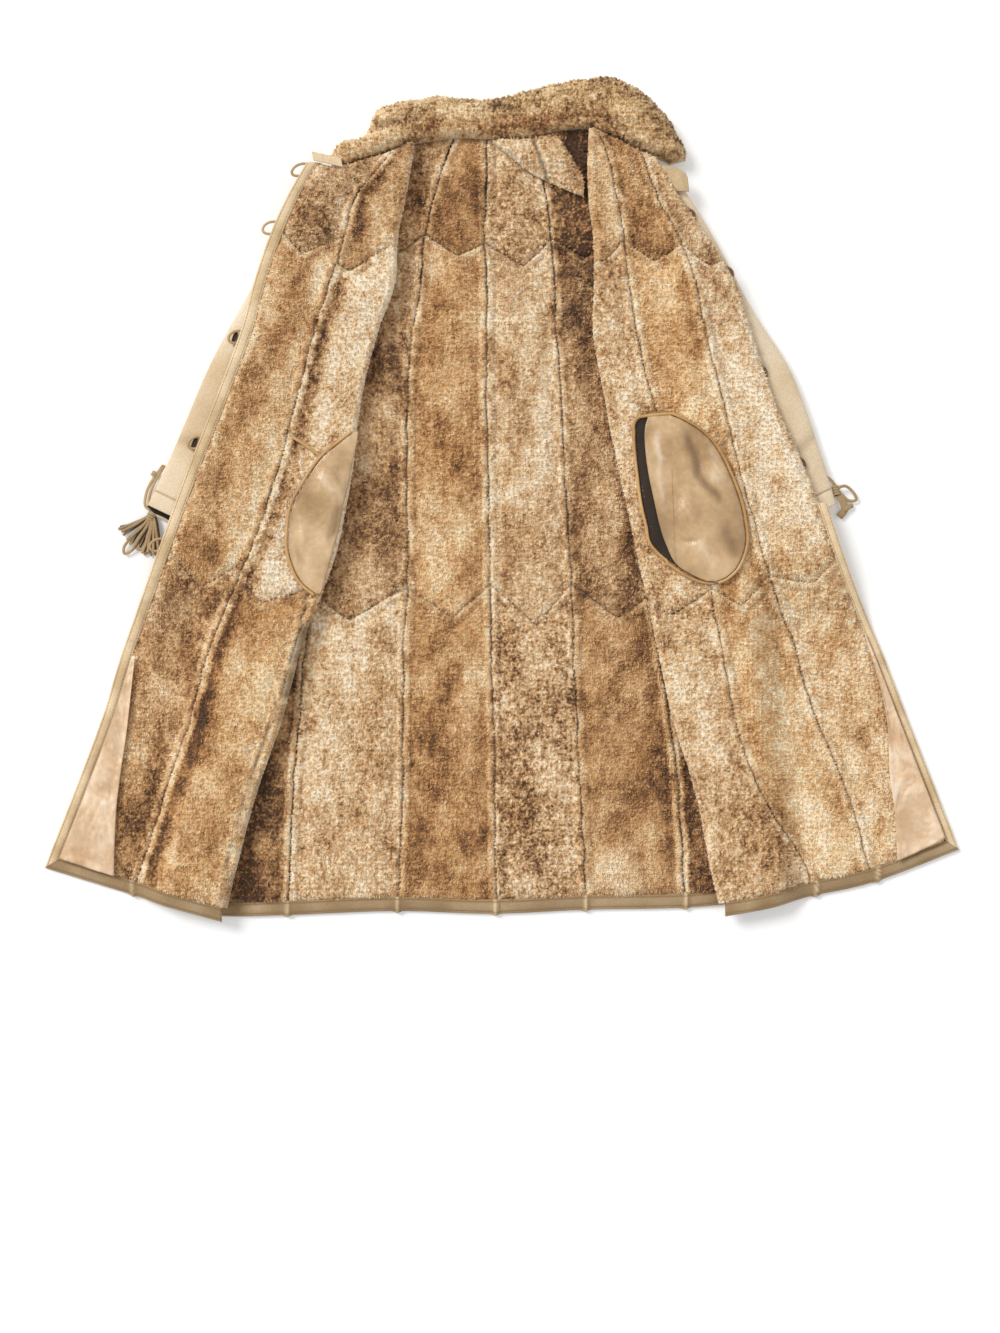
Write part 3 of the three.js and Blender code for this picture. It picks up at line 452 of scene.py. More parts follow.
# %% [markdown]
# ## Finishes
# Wool is pale at the tips and darker and warmer near the skin: that is painted shade, where
# the locks shade each other. Every skin was dyed by the sun and the tannery in its own way.
# One kind of material makes them all: it reads how dark and how warm a point is, disturbs
# that with clouds of several sizes, and looks the result up in two rows of wool colours.
# Fine fibres are bump.


# %% A helper for node trees
def linear(colour):
    """A hex colour as the linear numbers that Blender's sockets take."""
    parts = [int(colour[i:i + 2], 16) / 255 for i in (1, 3, 5)]
    return (*[c / 12.92 if c <= 0.04045 else ((c + 0.055) / 1.055) ** 2.4
              for c in parts], 1.0)


class Finish:
    """A material and short ways to add and join its nodes."""

    def __init__(self, name, roughness, sheen=0.0):
        self.material = bpy.data.materials.new(name)
        self.material.use_nodes = True
        self.tree = self.material.node_tree
        self.shader = self.tree.nodes["Principled BSDF"]
        self.shader.inputs["Roughness"].default_value = roughness
        self.shader.inputs["Sheen Weight"].default_value = sheen
        self.place = self.add("ShaderNodeTexCoord").outputs["Object"]

    def add(self, kind, **inputs):
        node = self.tree.nodes.new(kind)
        for key, value in inputs.items():
            self.put(node.inputs[key.replace("_", " ")], value)
        return node

    def put(self, socket, value):
        if isinstance(value, bpy.types.NodeSocket):
            self.tree.links.new(value, socket)
        else:
            socket.default_value = value

    def trait(self, name):
        node = self.add("ShaderNodeAttribute")
        node.attribute_name = name
        return node.outputs["Fac"]

    def stretched(self, scale, turn=0.0):
        node = self.add("ShaderNodeMapping", Vector=self.place)
        node.inputs["Scale"].default_value = scale
        node.inputs["Rotation"].default_value = (0, 0, turn)
        return node.outputs["Vector"]

    def noise(self, scale, detail=3.0, vector=None):
        node = self.add("ShaderNodeTexNoise", Vector=vector or self.place, Scale=scale,
                        Detail=detail, Roughness=0.55)
        return node.outputs["Fac"]

    def sums(self, operation, a, b, clamp=False):
        node = self.add("ShaderNodeMath")
        node.operation = operation
        node.use_clamp = clamp
        self.put(node.inputs[0], a)
        self.put(node.inputs[1], b)
        return node.outputs[0]

    def swing(self, value, strength):
        """A cloud from 0 to 1 as a change of plus or minus half the strength."""
        return self.sums("MULTIPLY", self.sums("SUBTRACT", value, 0.5), strength)

    def ramp(self, value, stops):
        node = self.add("ShaderNodeValToRGB", Fac=value)
        elements = node.color_ramp.elements
        while len(elements) < len(stops):
            elements.new(0.5)
        for element, (position, colour) in zip(elements, stops):
            element.position = position
            element.color = linear(colour) if isinstance(colour, str) else (
                colour, colour, colour, 1)
        return node.outputs["Color"]

    def mix(self, share, a, b, blend="MIX"):
        node = self.add("ShaderNodeMix")
        node.data_type = "RGBA"
        node.blend_type = blend
        self.put(node.inputs[0], share)
        self.put(node.inputs[6], a)
        self.put(node.inputs[7], b)
        return node.outputs[2]

    def bump(self, height, depth, strength=1.0, after=None):
        node = self.add("ShaderNodeBump", Height=height)
        node.inputs["Strength"].default_value = strength
        node.inputs["Distance"].default_value = depth
        if after is not None:
            self.put(node.inputs["Normal"], after)
        return node.outputs["Normal"]

    def colour(self, value):
        self.put(self.shader.inputs["Base Color"], value)

    def normal(self, value):
        self.put(self.shader.inputs["Normal"], value)


# %% Wool
WARM_WOOL = [(0.0, "#ffeccb"), (0.2, "#f5d6a6"), (0.42, "#e0b37e"), (0.62, "#c4925c"),
             (0.8, "#966840"), (1.0, "#5a3f2a")]
COOL_WOOL = [(0.0, "#fdeed8"), (0.2, "#efd6b2"), (0.42, "#d5b187"), (0.62, "#b08a62"),
             (0.8, "#7f5d40"), (1.0, "#4b3527")]
WOOL_CLOUDS = [
    # scale, strength, stretch down the coat
    (14, 1.0, 0.6), (45, 0.8, 0.65), (120, 1.0, 0.8), (230, 1.0, 1.0),
]


def wool_finish(name, locks, warm_row=None, cool_row=None):
    """The wool of the panels, or with locks, of the locks that stand on them."""
    wool = Finish(name, 0.8, sheen=0.12)
    wool.shader.inputs["Specular IOR Level"].default_value = 0.3
    dark = wool.trait("dark")
    curls = wool.sums("ADD", wool.sums("MULTIPLY", wool.trait("curly"), 0.85), 0.45)
    for scale, strength, stretch in WOOL_CLOUDS:
        place = wool.stretched((1.0, stretch, 1.0))
        cloudy = wool.swing(wool.noise(scale, 2.0, place), strength)
        if scale > 100:  # the finest clouds are the curls
            cloudy = wool.sums("MULTIPLY", cloudy, curls)
        dark = wool.sums("ADD", dark, cloudy)
    if locks:
        # painted shade: the locks grow darker towards their roots, where they shade each other
        painted_root_shade = wool.sums("MULTIPLY", wool.trait("rise"), -0.24)
        dark = wool.sums("ADD", dark, wool.sums("ADD", painted_root_shade, -0.04))
        dark = wool.sums("ADD", dark, wool.swing(wool.trait("lock"), 0.26))
    warm = wool.sums("ADD", wool.trait("warm"),
                     wool.swing(wool.noise(30, 2.0, wool.stretched((1, 0.5, 1), 0.4)), 0.7),
                     clamp=True)
    colour = wool.mix(warm, wool.ramp(dark, cool_row or COOL_WOOL),
                      wool.ramp(dark, warm_row or WARM_WOOL))
    slit = wool.trait("slit")
    shade = wool.ramp(slit, [(0.25, "#8d7a61"), (0.6, "#5a4836"), (0.85, "#3a2c20")])
    colour = wool.mix(wool.sums("MULTIPLY", slit, 1.3, clamp=True), colour, shade)
    wool.colour(colour)
    fibres = wool.noise(700, 2.0, wool.stretched((1.0, 0.45, 1.0)))
    height = wool.bump(fibres, 0.0012, 0.5)
    if not locks:
        height = wool.bump(wool.noise(210, 3.0), 0.004, 0.8, after=height)
    wool.normal(height)
    return wool.material


wool = wool_finish("sheepskin_wool", locks=False)
wool_locks = wool_finish("wool_locks", locks=True)


# %% [markdown]
# ## Suede and smooth leather
# Suede has a short nap that scatters light, with soft darker clouds where it was
# handled. The pocket bags and facings are thin smooth leather with a gloss that breaks
# up over its fine wrinkles.

# %% Suede and leather
def suede_finish(name, pale, main, deep, cloud_scale=9.0, worn=None):
    """Suede in three tones, and a fourth where its worn trait says so: wear and dirt, and on the
    sleeves and bindings painted shade as well.
    """
    suede = Finish(name, 0.92, sheen=0.25)
    suede.shader.inputs["Specular IOR Level"].default_value = 0.2
    handled = suede.ramp(suede.noise(cloud_scale, 4.0), [(0.32, deep), (0.52, main),
                                                         (0.75, pale)])
    if worn:
        handled = suede.mix(suede.trait("worn"), handled, linear(worn))
    fine = suede.ramp(suede.noise(420, 3.0), [(0.3, 0.84), (0.7, 1.06)])
    suede.colour(suede.mix(1.0, handled, fine, "MULTIPLY"))
    rough = suede.bump(suede.noise(900, 2.0), 0.0006, 0.6)
    suede.normal(suede.bump(suede.noise(60, 3.0), 0.002, 0.25, after=rough))
    return suede.material


def leather_finish(name, pale, main, deep, gloss=0.34, fold_shade_colour="#6b4f33"):
    """Smooth leather, with painted shade in the valleys of its folds and painted highlights on
    their ridges.
    """
    leather = Finish(name, gloss)
    tone = leather.ramp(leather.noise(16, 4.0), [(0.3, deep), (0.5, main), (0.72, pale)])
    worn = leather.ramp(leather.noise(150, 2.0), [(0.35, 0.93), (0.65, 1.04)])
    tone = leather.mix(leather.trait("painted_valley_shade"), tone, linear(fold_shade_colour))
    tone = leather.mix(leather.trait("painted_ridge_highlight"), tone, linear("#fbeedb"))
    leather.colour(leather.mix(1.0, tone, worn, "MULTIPLY"))
    leather.put(leather.shader.inputs["Roughness"],
                leather.sums("ADD", leather.swing(leather.noise(40, 3.0), 0.3), gloss))
    grain = leather.add("ShaderNodeTexVoronoi", Vector=leather.place, Scale=900.0)
    fine = leather.bump(grain.outputs["Distance"], 0.0004, 0.35)
    wrinkles = leather.noise(34, 4.0, leather.stretched((1.0, 0.4, 1.0), 0.7))
    leather.normal(leather.bump(wrinkles, 0.006, 0.5, after=fine))
    return leather.material


# its worn colour also paints a dark line along the cuff seam and the shade in a furrow above the
# cuff
sleeve_suede = suede_finish("sleeve_suede", "#f1e0c6", "#e9d4b5", "#d8bd97",
                            cloud_scale=6.0, worn="#9c815d")
under_suede = suede_finish("outer_side_suede", "#e3cda9", "#d4ba91", "#bb9f77")
# its worn colour is dirt on the hem, and painted shade in the grooves and beside the nubs
binding_suede = suede_finish("binding_suede", "#f4ddb9", "#ebd1aa", "#d5b78c",
                             cloud_scale=22.0, worn="#967b59")
tassel_suede = suede_finish("tassel_suede", "#d0b68e", "#b69a72", "#94795a")
# painted shadow that lies beside each strand of the tassel
tassel_shadow = suede_finish("tassel_shadow", "#6b5640", "#54412f", "#3d2e21")
facing_leather = leather_finish("facing_leather", "#fbe3c6", "#f1d2af", "#dcb68e", 0.3,
                                "#a8825a")
pocket_leather = leather_finish("pocket_leather", "#e3c39a", "#cba97e", "#ad8b62", 0.2)
piping_leather = leather_finish("piping_leather", "#d8b077", "#c79a62", "#ad8250", 0.4)
cord_leather = leather_finish("cord_leather", "#c9ab80", "#b49468", "#987a52", 0.5)
# painted shade: this dark leather fills the pocket's inside, the places under two loops and the
# cuff's mouth
painted_shade_leather = leather_finish("painted_shade_leather", "#3b2c1f", "#30241a", "#241a12", 0.85)
thread = suede_finish("linen_thread", "#a08056", "#8b6c45", "#6f5536")


# %% Wood
def wood_finish(name):
    wood = Finish(name, 0.5)
    rings = wood.noise(160, 3.0, wood.stretched((1.0, 0.12, 1.0), 0.5))
    wood.colour(wood.ramp(rings, [(0.3, "#5d4128"), (0.5, "#7a5a3a"), (0.7, "#936f49")]))
    wood.normal(wood.bump(rings, 0.0004, 0.4))
    return wood.material


wood = wood_finish("button_wood")

# %% [markdown]
# ## The panels
# Each strip of the coat is three skins long: yoke, body and skirt. The wool stands
# highest in the middle of a skin. Along a seam the edges of both skins stand up as a
# pair of short ridges with a slit between them, and beyond a ridge there is a dip.

# %% Relief beside seams
# distance from the seam, height against the full wool
SIDE_SEAM = [(0, -6.0), (1.2, -3.6), (2.6, -1.2), (5, -0.4), (8, -0.9), (11, -3.0),
             (15, -2.6), (24, -0.8), (36, 0)]
POINTED_ABOVE = [(0, -5.5), (1.5, -3.4), (4, -1.6), (9, -0.5), (15, 0)]
POINTED_BELOW = [(0, -5.0), (1.5, -1.6), (5, -0.5), (8.5, -1.2), (11, -3.0), (15, -1.6),
                 (24, 0)]
AT_BINDING = [(0, -4.5), (3, -2.4), (8, -0.8), (16, 0)]


def relief(profile, distance):
    """Reads a profile: pairs of a distance and a height."""
    return np.interp(distance, [d for d, _ in profile], [h for _, h in profile])


# %% How each skin looks
LOOKS = {
    # skin: dark in the middle, warm, curly, painted shade in the dip beside its first and its
    # second line (below 0: painted light)
    "back_1_yoke": (0.66, 0.5, 0.5, 0.1, 0.0),
    "back_1_body": (0.62, 0.35, 0.5, 0.1, 0.0),
    "back_1_skirt": (0.39, 0.4, 0.7, 0.0, 0.0),
    "back_2_yoke": (0.7, 0.75, 0.1, 0.0, 0.0),
    "back_2_body": (0.47, 0.8, 0.3, 0.1, 0.1),
    "back_2_skirt": (0.64, 0.8, 0.2, 0.05, 0.05),
    "back_3_yoke": (0.5, 0.35, 0.9, 0.0, 0.05),
    "back_3_body": (0.38, 0.3, 0.5, 0.0, 0.0),
    "back_3_skirt": (0.46, 0.35, 1.0, 0.1, 0.0),
    "back_4_yoke": (0.8, 0.45, 0.7, 0.0, 0.1),
    "back_4_body": (0.67, 0.3, 0.4, 0.0, 0.15),
    "back_4_skirt": (0.61, 0.6, 0.1, 0.0, 0.2),
    "left_1_yoke": (0.5, 0.25, 0.6, 0.0, 0.0),
    "left_1_body": (0.42, 0.75, 0.2, 0.0, -0.12),
    "left_1_skirt": (0.66, 0.6, 0.4, 0.0, 0.1),
    "left_2_yoke": (0.45, 0.55, 0.3, 0.3, 0.0),
    "left_2_body": (0.18, 0.4, 0.7, 0.6, 0.0),
    "left_2_skirt": (0.46, 0.9, 0.3, 0.5, 0.0),
    "right_1_yoke": (0.42, 0.65, 0.1, 0.0, 0.0),
    "right_1_body": (0.42, 0.4, 0.8, 0.0, 0.05),
    "right_1_skirt": (0.4, 0.4, 0.7, 0.0, 0.05),
    "right_2_yoke": (0.68, 0.75, 0.3, 0.05, 0.0),
    "right_2_body": (0.4, 0.9, 0.4, 0.1, 0.15),
    "right_2_skirt": (0.38, 0.85, 0.3, 0.05, 0.05),
    "right_3_yoke": (0.36, 0.25, 0.5, 0.1, 0.0),
    "right_3_body": (0.27, 0.3, 0.5, 0.1, -0.1),
    "right_3_skirt": (0.35, 0.55, 0.4, 0.0, 0.0),
}
PATCHES = [
    # across, down, half width, half length, lean, darker by, warmer by
    (-340, 310, 26, 150, -0.45, 0.26, -0.1),
    (-420, 520, 22, 120, -0.4, 0.2, -0.1),
    (-268, 220, 14, 60, -0.3, -0.2, 0.1),
    (-345, 545, 16, 140, -0.45, -0.22, 0.1),
    (-250, 470, 30, 70, -0.3, 0.12, 0.2),
    (-340, 640, 26, 40, 0.2, -0.5, -0.2),
    (-420, 620, 22, 30, 0.0, 0.3, 0.0),
    (-500, 700, 40, 30, 0.0, -0.15, -0.3),
    (-520, 800, 40, 60, 0.3, -0.16, 0.0),
    (-545, 930, 30, 70, -0.3, -0.12, 0.1),
    (-350, 800, 26, 90, -0.35, -0.1, 0.1),
    (-460, 1040, 50, 60, -0.2, 0.2, -0.1),
    (-410, 930, 22, 60, 0.3, 0.16, 0.0),
    (-110, 195, 26, 30, 0.0, -0.28, -0.4),
    (-90, 330, 30, 40, 0.2, 0.16, 0.1),
    (-80, 480, 34, 50, 0.0, 0.14, 0.1),
    (-95, 570, 30, 60, 0.0, -0.1, 0.0),
    (-60, 640, 40, 40, 0.0, 0.1, 0.1),
    (30, 230, 26, 40, 0.0, 0.06, 0.1),
    (60, 420, 26, 50, 0.2, -0.22, 0.0),
    (20, 340, 20, 60, 0.0, 0.12, 0.1),
    (60, 560, 36, 50, 0.2, -0.12, 0.0),
    (120, 250, 26, 60, 0.0, 0.18, -0.2),
    (150, 560, 30, 60, 0.0, -0.16, 0.1),
    (180, 640, 30, 40, 0.0, -0.16, 0.0),
    (-100, 900, 30, 60, 0.2, 0.14, 0.0),
    (-40, 800, 24, 50, 0.3, -0.1, -0.1),
    (-70, 1050, 40, 30, 0.0, 0.2, 0.0),
    (40, 900, 20, 60, 0.0, 0.22, 0.0),
    (60, 1020, 40, 40, 0.0, 0.12, 0.0),
    (190, 850, 34, 80, 0.1, -0.1, 0.0),
    (180, 1090, 40, 40, 0.0, -0.2, -0.3),
    (210, 950, 30, 60, 0.1, 0.18, 0.1),
    (-230, 800, 40, 60, 0.2, -0.12, 0.0),
    (-240, 1000, 40, 60, 0.2, 0.08, 0.0),
    (240, 330, 26, 60, 0.3, 0.16, 0.1),
    (280, 420, 18, 60, 0.3, -0.1, 0.1),
    # painted shade in the valley of the long fold down the right front
    (330, 250, 24, 130, 0.45, 0.36, -0.1),
    (390, 420, 18, 90, 0.45, -0.16, 0.0),
    (420, 640, 34, 40, 0.3, 0.24, 0.6),
    (330, 720, 24, 60, 0.3, 0.1, 0.1),
    (400, 900, 26, 80, 0.35, -0.08, 0.1),
    (460, 1000, 24, 90, 0.4, -0.2, 0.0),
    (380, 1040, 40, 50, 0.3, 0.16, 0.1),
    (500, 760, 30, 60, 0.35, 0.1, 0.2),
    (560, 900, 24, 90, 0.4, -0.1, 0.0),
    (180, 420, 14, 120, 0.1, -0.16, 0.0),
    (300, 1060, 40, 60, 0.3, 0.1, 0.0),
    (270, 880, 30, 90, 0.2, -0.1, 0.0),
    # painted shadow in the hollow where the right front's fold rises from the shoulder
    (104, 26, 13, 26, 0.2, 0.5, 0.1),
]
CREASES = [
    # from across, down, to across, down, half width, depth
    (-330, 240, -420, 520, 16, -1.6),
    (300, 250, 420, 560, 15, -2.6),
    (-470, 760, -540, 980, 18, -1.4),
    (330, 760, 470, 1060, 16, -1.6),
    (-60, 800, -120, 980, 9, -1.6),
    (-110, 760, -60, 840, 8, -1.4),
    (-220, 820, -200, 1000, 14, -1.2),
    (200, 760, 240, 1040, 14, -1.4),
    (230, 240, 300, 560, 12, 1.4),
    (440, 700, 600, 1040, 14, -1.4),
    (98, -2, 108, 50, 14, -5.0),
    (-237, 892, -266, 1010, 4, 1.6),
    (-230, 1092, -120, 1085, 4, 1.4),
    (-131, 951, -82, 955, 4, 1.4),
    (-131, 1002, -82, 1008, 4, 1.4),
    (-30, 1090, 60, 1100, 4, 1.2),
]


def disturb(x, down):
    """How much the patches make the wool darker and warmer at a place."""
    darker, warmer = np.zeros_like(x), np.zeros_like(x)
    wavy_x = x + 7 * cloud(x, down, 30, 3)
    wavy_down = down + 12 * cloud(x, down, 36, 4)
    for px, pd, half_wide, half_long, lean, dark, warm in PATCHES:
        off = (wavy_x - px - lean * (wavy_down - pd)) / half_wide
        along = (wavy_down - pd) / half_long
        share = np.exp(-(off * off + along * along))
        darker, warmer = darker + dark * share, warmer + warm * share
    return darker, warmer


EXTRA_SEAMS = {
    # down, across
    "left_2_skirt": [[693, -286], [771, -306], [847, -330], [893, -347], [946, -365],
                     [1001, -381], [1066, -398], [1141, -415]],
}


def crease_height(creases, x, down, fade, sway=0.0, wave=1.0):
    """Height of rolls and furrows along lines, which fade at their ends and may sway."""
    total = np.zeros_like(x)
    for x0, d0, x1, d1, half_wide, depth in creases:
        length = math.hypot(x1 - x0, d1 - d0)
        ax, ad = (x1 - x0) / length, (d1 - d0) / length
        along = (x - x0) * ax + (down - d0) * ad
        aside = (x - x0) * ad - (down - d0) * ax + sway * np.sin(along / wave)
        ends = smooth(*fade, along) * smooth(*fade, length - along)
        total += depth * ends * bell(aside, half_wide)
    return total


# %% Seams that wander
STRAY_REACH = 22.0  # the skin beside a seam goes along with it this far
SIDE_SALT, POINTED_SALT = 60, 100


def wander(place, salt):
    """How far a seam strays from its line, at a place along it."""
    flat = np.zeros_like(place)
    return 1.5 * cloud(place, flat, 27, salt) + 0.9 * cloud(place, flat, 9, salt + 20)


def stray(place, salt, away):
    """How far the skin at a distance from a seam goes along with it."""
    return wander(place, salt) * (1 - smooth(0, STRAY_REACH, away))


def ragged(x, down):
    """The uneven edge of the wool along a seam."""
    return 1.0 * cloud(x, down, 11, 70) + 0.8 * cloud(x, down, 7, 71)


# %% One panel as grids of points
GRID = 5.7  # size of the mesh's squares
SLANT = 0.85  # pointed seams slant, so they are nearer than straight up
DEEPEST = -6.5  # where two reliefs meet
FAR = 99.0  # stands for no seam
SEWN = ["f1", "b0", "b1", "b2", "b3", "b4", "g1", "g2"]  # lines with a seam
NEAR_SEAM = [0.0, 1.4, 3.0, 5.2, 8.0, 11.0, 14.5]


def stations(length, close_start=True, close_end=True):
    """Fractions along a length, closer together near seams."""
    start = [d for d in NEAR_SEAM if d < length * 0.4] if close_start else [0.0]
    end = [length - d for d in NEAR_SEAM if d < length * 0.4] if close_end else [length]
    gap = end[-1] - start[-1]
    inside = max(int(round(gap / GRID)), 1)
    middle = [start[-1] + gap * i / inside for i in range(1, inside)]
    return np.array(start + middle + end[::-1]) / length


def panel_grid(strip, first, last):
    """The points of a panel's wool side, its suede side and its traits."""
    widths = [float(across(strip, d, 1.0) - across(strip, d, 0.0))
              for d in (row_down(strip["from"], row) for row in range(first, last + 1))]
    rolled = strip["fold"]
    u = stations(np.mean(widths), rolled != "from", rolled != "to")
    rows = [panel_down(strip, row, u) for row in range(first, last + 1)]
    rows[0] = rows[0] + SEAM_GAP * 0.9
    if last < HEM_ROW:
        rows[-1] = rows[-1] - SEAM_GAP * 0.9
    rows = np.array(rows)
    reach = np.concatenate([[0], np.cumsum(np.mean(np.diff(rows, axis=0), axis=1))])
    v = stations(reach[-1]) * reach[-1]
    down = np.stack([np.interp(v, reach, rows[:, j]) for j in range(len(u))], axis=1)
    x = across(strip, down, u[None, :])
    width = x[:, -1:] - x[:, :1]
    from_start, from_end = u[None, :] * width, (1 - u[None, :]) * width
    above, below = down - down[:1], down[-1:] - down
    for name, away in ((strip["from"], from_start), (strip["to"], from_end)):
        if name in SEWN:
            x = x + stray(down, SIDE_SALT + LINE_NAMES.index(name), away)
    if first:
        down = down + stray(x, POINTED_SALT + strip["lower"], above)
    if last < HEM_ROW:
        down = down + stray(x, POINTED_SALT + strip["lower"], below)
    low = floor_of(strip["layer"], x, down)
    at_edge = {"edgeL": AT_BINDING, "edgeR": AT_BINDING}
    lift = np.zeros_like(x)
    if rolled != "from":
        lift += relief(at_edge.get(strip["from"], SIDE_SEAM), from_start)
    if rolled != "to":
        lift += relief(at_edge.get(strip["to"], SIDE_SEAM), from_end)
    lift += relief(POINTED_BELOW if first else AT_BINDING, above * SLANT)
    lift += relief(POINTED_ABOVE if last < HEM_ROW else AT_BINDING, below * SLANT)
    lift = np.maximum(lift, DEEPEST)

    tier = "yoke" if first == 0 else "skirt" if last == HEM_ROW else "body"
    dark, warm, curly, dip_shade_start, dip_shade_end = LOOKS[f"{strip['name']}_{tier}"]
    darker, warmer = disturb(x, down)
    edge = np.minimum(np.where(rolled == "from", FAR, from_start),
                      np.where(rolled == "to", FAR, from_end))
    edge = np.minimum(edge, np.where(first > 0, above * SLANT, FAR))
    extra, beside = EXTRA_SEAMS.get(f"{strip['name']}_{tier}"), np.full_like(x, FAR)
    if extra:
        beside = np.abs(x - read_table(extra, 1, down) - wander(down, 90))
        edge = np.minimum(edge, beside)
        lift = np.maximum(lift + relief(SIDE_SEAM, beside), DEEPEST)
    band = 1 - smooth(7.0, 11.0, edge + 2.6 * cloud(x, down, 13, 9))
    open_slit = 0.24 * np.ones_like(x)
    if strip["layer"] == "back":
        open_slit = 0.36 + 0.44 * (1 - smooth(100, 330, down))
    open_slit = open_slit + 0.3 * cloud(x, down, 19, 73)
    seam_wide = 1 + 0.5 * cloud(x, down, 16, 74)
    # painted shade in the dip beyond each seam's ridge, as strong as the skin's look says
    painted_valley_shade = smooth(8, 12, from_start) * (1 - smooth(16, 40, from_start)) * dip_shade_start
    painted_valley_shade = painted_valley_shade + smooth(8, 12, from_end) * (1 - smooth(16, 40, from_end)) * dip_shade_end
    traits = {
        "dark": lerp(dark + darker + painted_valley_shade, 0.27 + 0.36 * dark + 0.2 * ragged(x, down),
                     0.85 * band),
        "warm": lerp(warm + warmer, 0.45, 0.5 * band),
        "slit": open_slit * (1 - smooth(0.4, 2.3, edge / seam_wide)),
        "curly": np.full_like(x, curly),
    }
    traits["slit"] = np.maximum(traits["slit"], 0.5 * (1 - smooth(1.0, 4.5, beside)))
    lift += band * smooth(1, 4, edge) * ragged(x, down)
    creased = crease_height(CREASES, x, down, (-20, 30), 5, 37)
    lift += (1 - band) * (creased + 0.7 * cloud(x, down, 17, 1)
                          + 0.6 * cloud(x, down, 10, 2) * (0.4 + curly))
    top = np.stack([x, down, low + PELT - WOOL_START + lift], axis=-1)
    bottom = np.stack([x, down, low], axis=-1)
    if rolled:
        top, bottom, traits = add_roll(strip, top, bottom, traits)
    return top, bottom, traits


# %% The rolled edge of a folded-back front
ROLL_TURNS = np.radians([-90, -72, -54, -36, -18, 0, 18, 36, 54, 72])


def add_roll(strip, top, bottom, traits):
    """Bends the skin down round the fold, wool outwards."""
    to = strip["fold"] == "to"
    sign = 1 if to else -1
    side = -1 if to else 0
    down = top[:, side, 1]
    middle = line(strip["to"] if to else strip["from"], down) - sign * FOLD_RADIUS
    height = UNDER_FLOOR + FOLD_RADIUS
    wavy = 0.8 * cloud(middle[:, None], down[:, None] + 40 * ROLL_TURNS[None, :], 22, 6)
    radius = FOLD_RADIUS - WOOL_START * 0.6 + wavy

    def ring(size):
        return np.stack([middle[:, None] + sign * size * np.cos(ROLL_TURNS)[None, :],
                         np.repeat(down[:, None], len(ROLL_TURNS), axis=1),
                         height + size * np.sin(ROLL_TURNS)[None, :]], axis=-1)

    rolled_top, rolled_bottom = ring(radius), ring(np.full_like(wavy, FOLD_LINING))
    if to:
        rolled_top, rolled_bottom = rolled_top[:, ::-1], rolled_bottom[:, ::-1]

    def join(flat, roll):
        return np.concatenate([flat, roll] if to else [roll, flat], axis=1)

    more = {trait: join(values, np.repeat(values[:, [side]], len(ROLL_TURNS), axis=1))
            for trait, values in traits.items()}
    return join(top, rolled_top), join(bottom, rolled_bottom), more


# %% Build all the panels
surfaces = {}
panels = {}
for strip in strips:
    bounds = [0, UPPER_ROW + strip["lower"], LOWER_ROW + strip["lower"], HEM_ROW]
    for tier, first, last in zip(TIERS, bounds, bounds[1:]):
        node = f"{strip['name']}_{tier}"
        top, bottom, traits = panel_grid(strip, first, last)
        piece = closed_sheet(f"skin_{node}", top, bottom, [wool, under_suede], traits)
        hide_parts(node)
        surfaces[node] = (strip["name"], top, traits)
        panels[node] = piece
print("panels:", len(panels), "with",
      sum(len(piece.data.polygons) for piece in panels.values()), "faces")

# %% [markdown]
# ## Locks of wool
# Sheared wool is a carpet of small locks that lean towards each other in clumps. One
# lock is modelled as a thin three-sided cone, and then copied many thousands of times
# into one joined mesh for each strip: scattered over the skin, turned at random, and
# with its tip drawn towards the middle of its clump.

# %% One lock
bpy.ops.object.select_all(action="DESELECT")
bpy.ops.mesh.primitive_cone_add(vertices=3, radius1=1.0, radius2=0.0, depth=1.0,
                                end_fill_type="NOTHING", location=(0, 0, 0.5))
lock = bpy.context.object
bpy.ops.object.transform_apply(location=True)
LOCK = np.array([tuple(v.co) for v in lock.data.vertices])
LOCK_FACES = np.array([tuple(p.vertices) for p in lock.data.polygons])
bpy.data.objects.remove(lock)
print("one lock has", len(LOCK_FACES), "faces")


# %% Clumps
def clump_middle(x, y, size, salt):
    """The middle of the clump that a place belongs to, and its own random value."""
    i, j = np.floor(x / size), np.floor(y / size)
    best = np.full(x.shape, 1e9)
    mx, my, own = np.zeros_like(x), np.zeros_like(x), np.zeros_like(x)
    for di in (-1, 0, 1):
        for dj in (-1, 0, 1):
            ci, cj = i + di, j + dj
            px = (ci + 0.15 + 0.7 * scatter(ci, cj, salt)) * size
            py = (cj + 0.15 + 0.7 * scatter(ci, cj, salt + 1)) * size
            distance = (px - x) ** 2 + (py - y) ** 2
            nearer = distance < best
            best = np.where(nearer, distance, best)
            mx, my = np.where(nearer, px, mx), np.where(nearer, py, my)
            own = np.where(nearer, scatter(ci, cj, salt + 2), own)
    return mx, my, own


# %% Places on a grid of points
def unit(vectors):
    return vectors / np.maximum(np.linalg.norm(vectors, axis=1, keepdims=True), 1e-9)


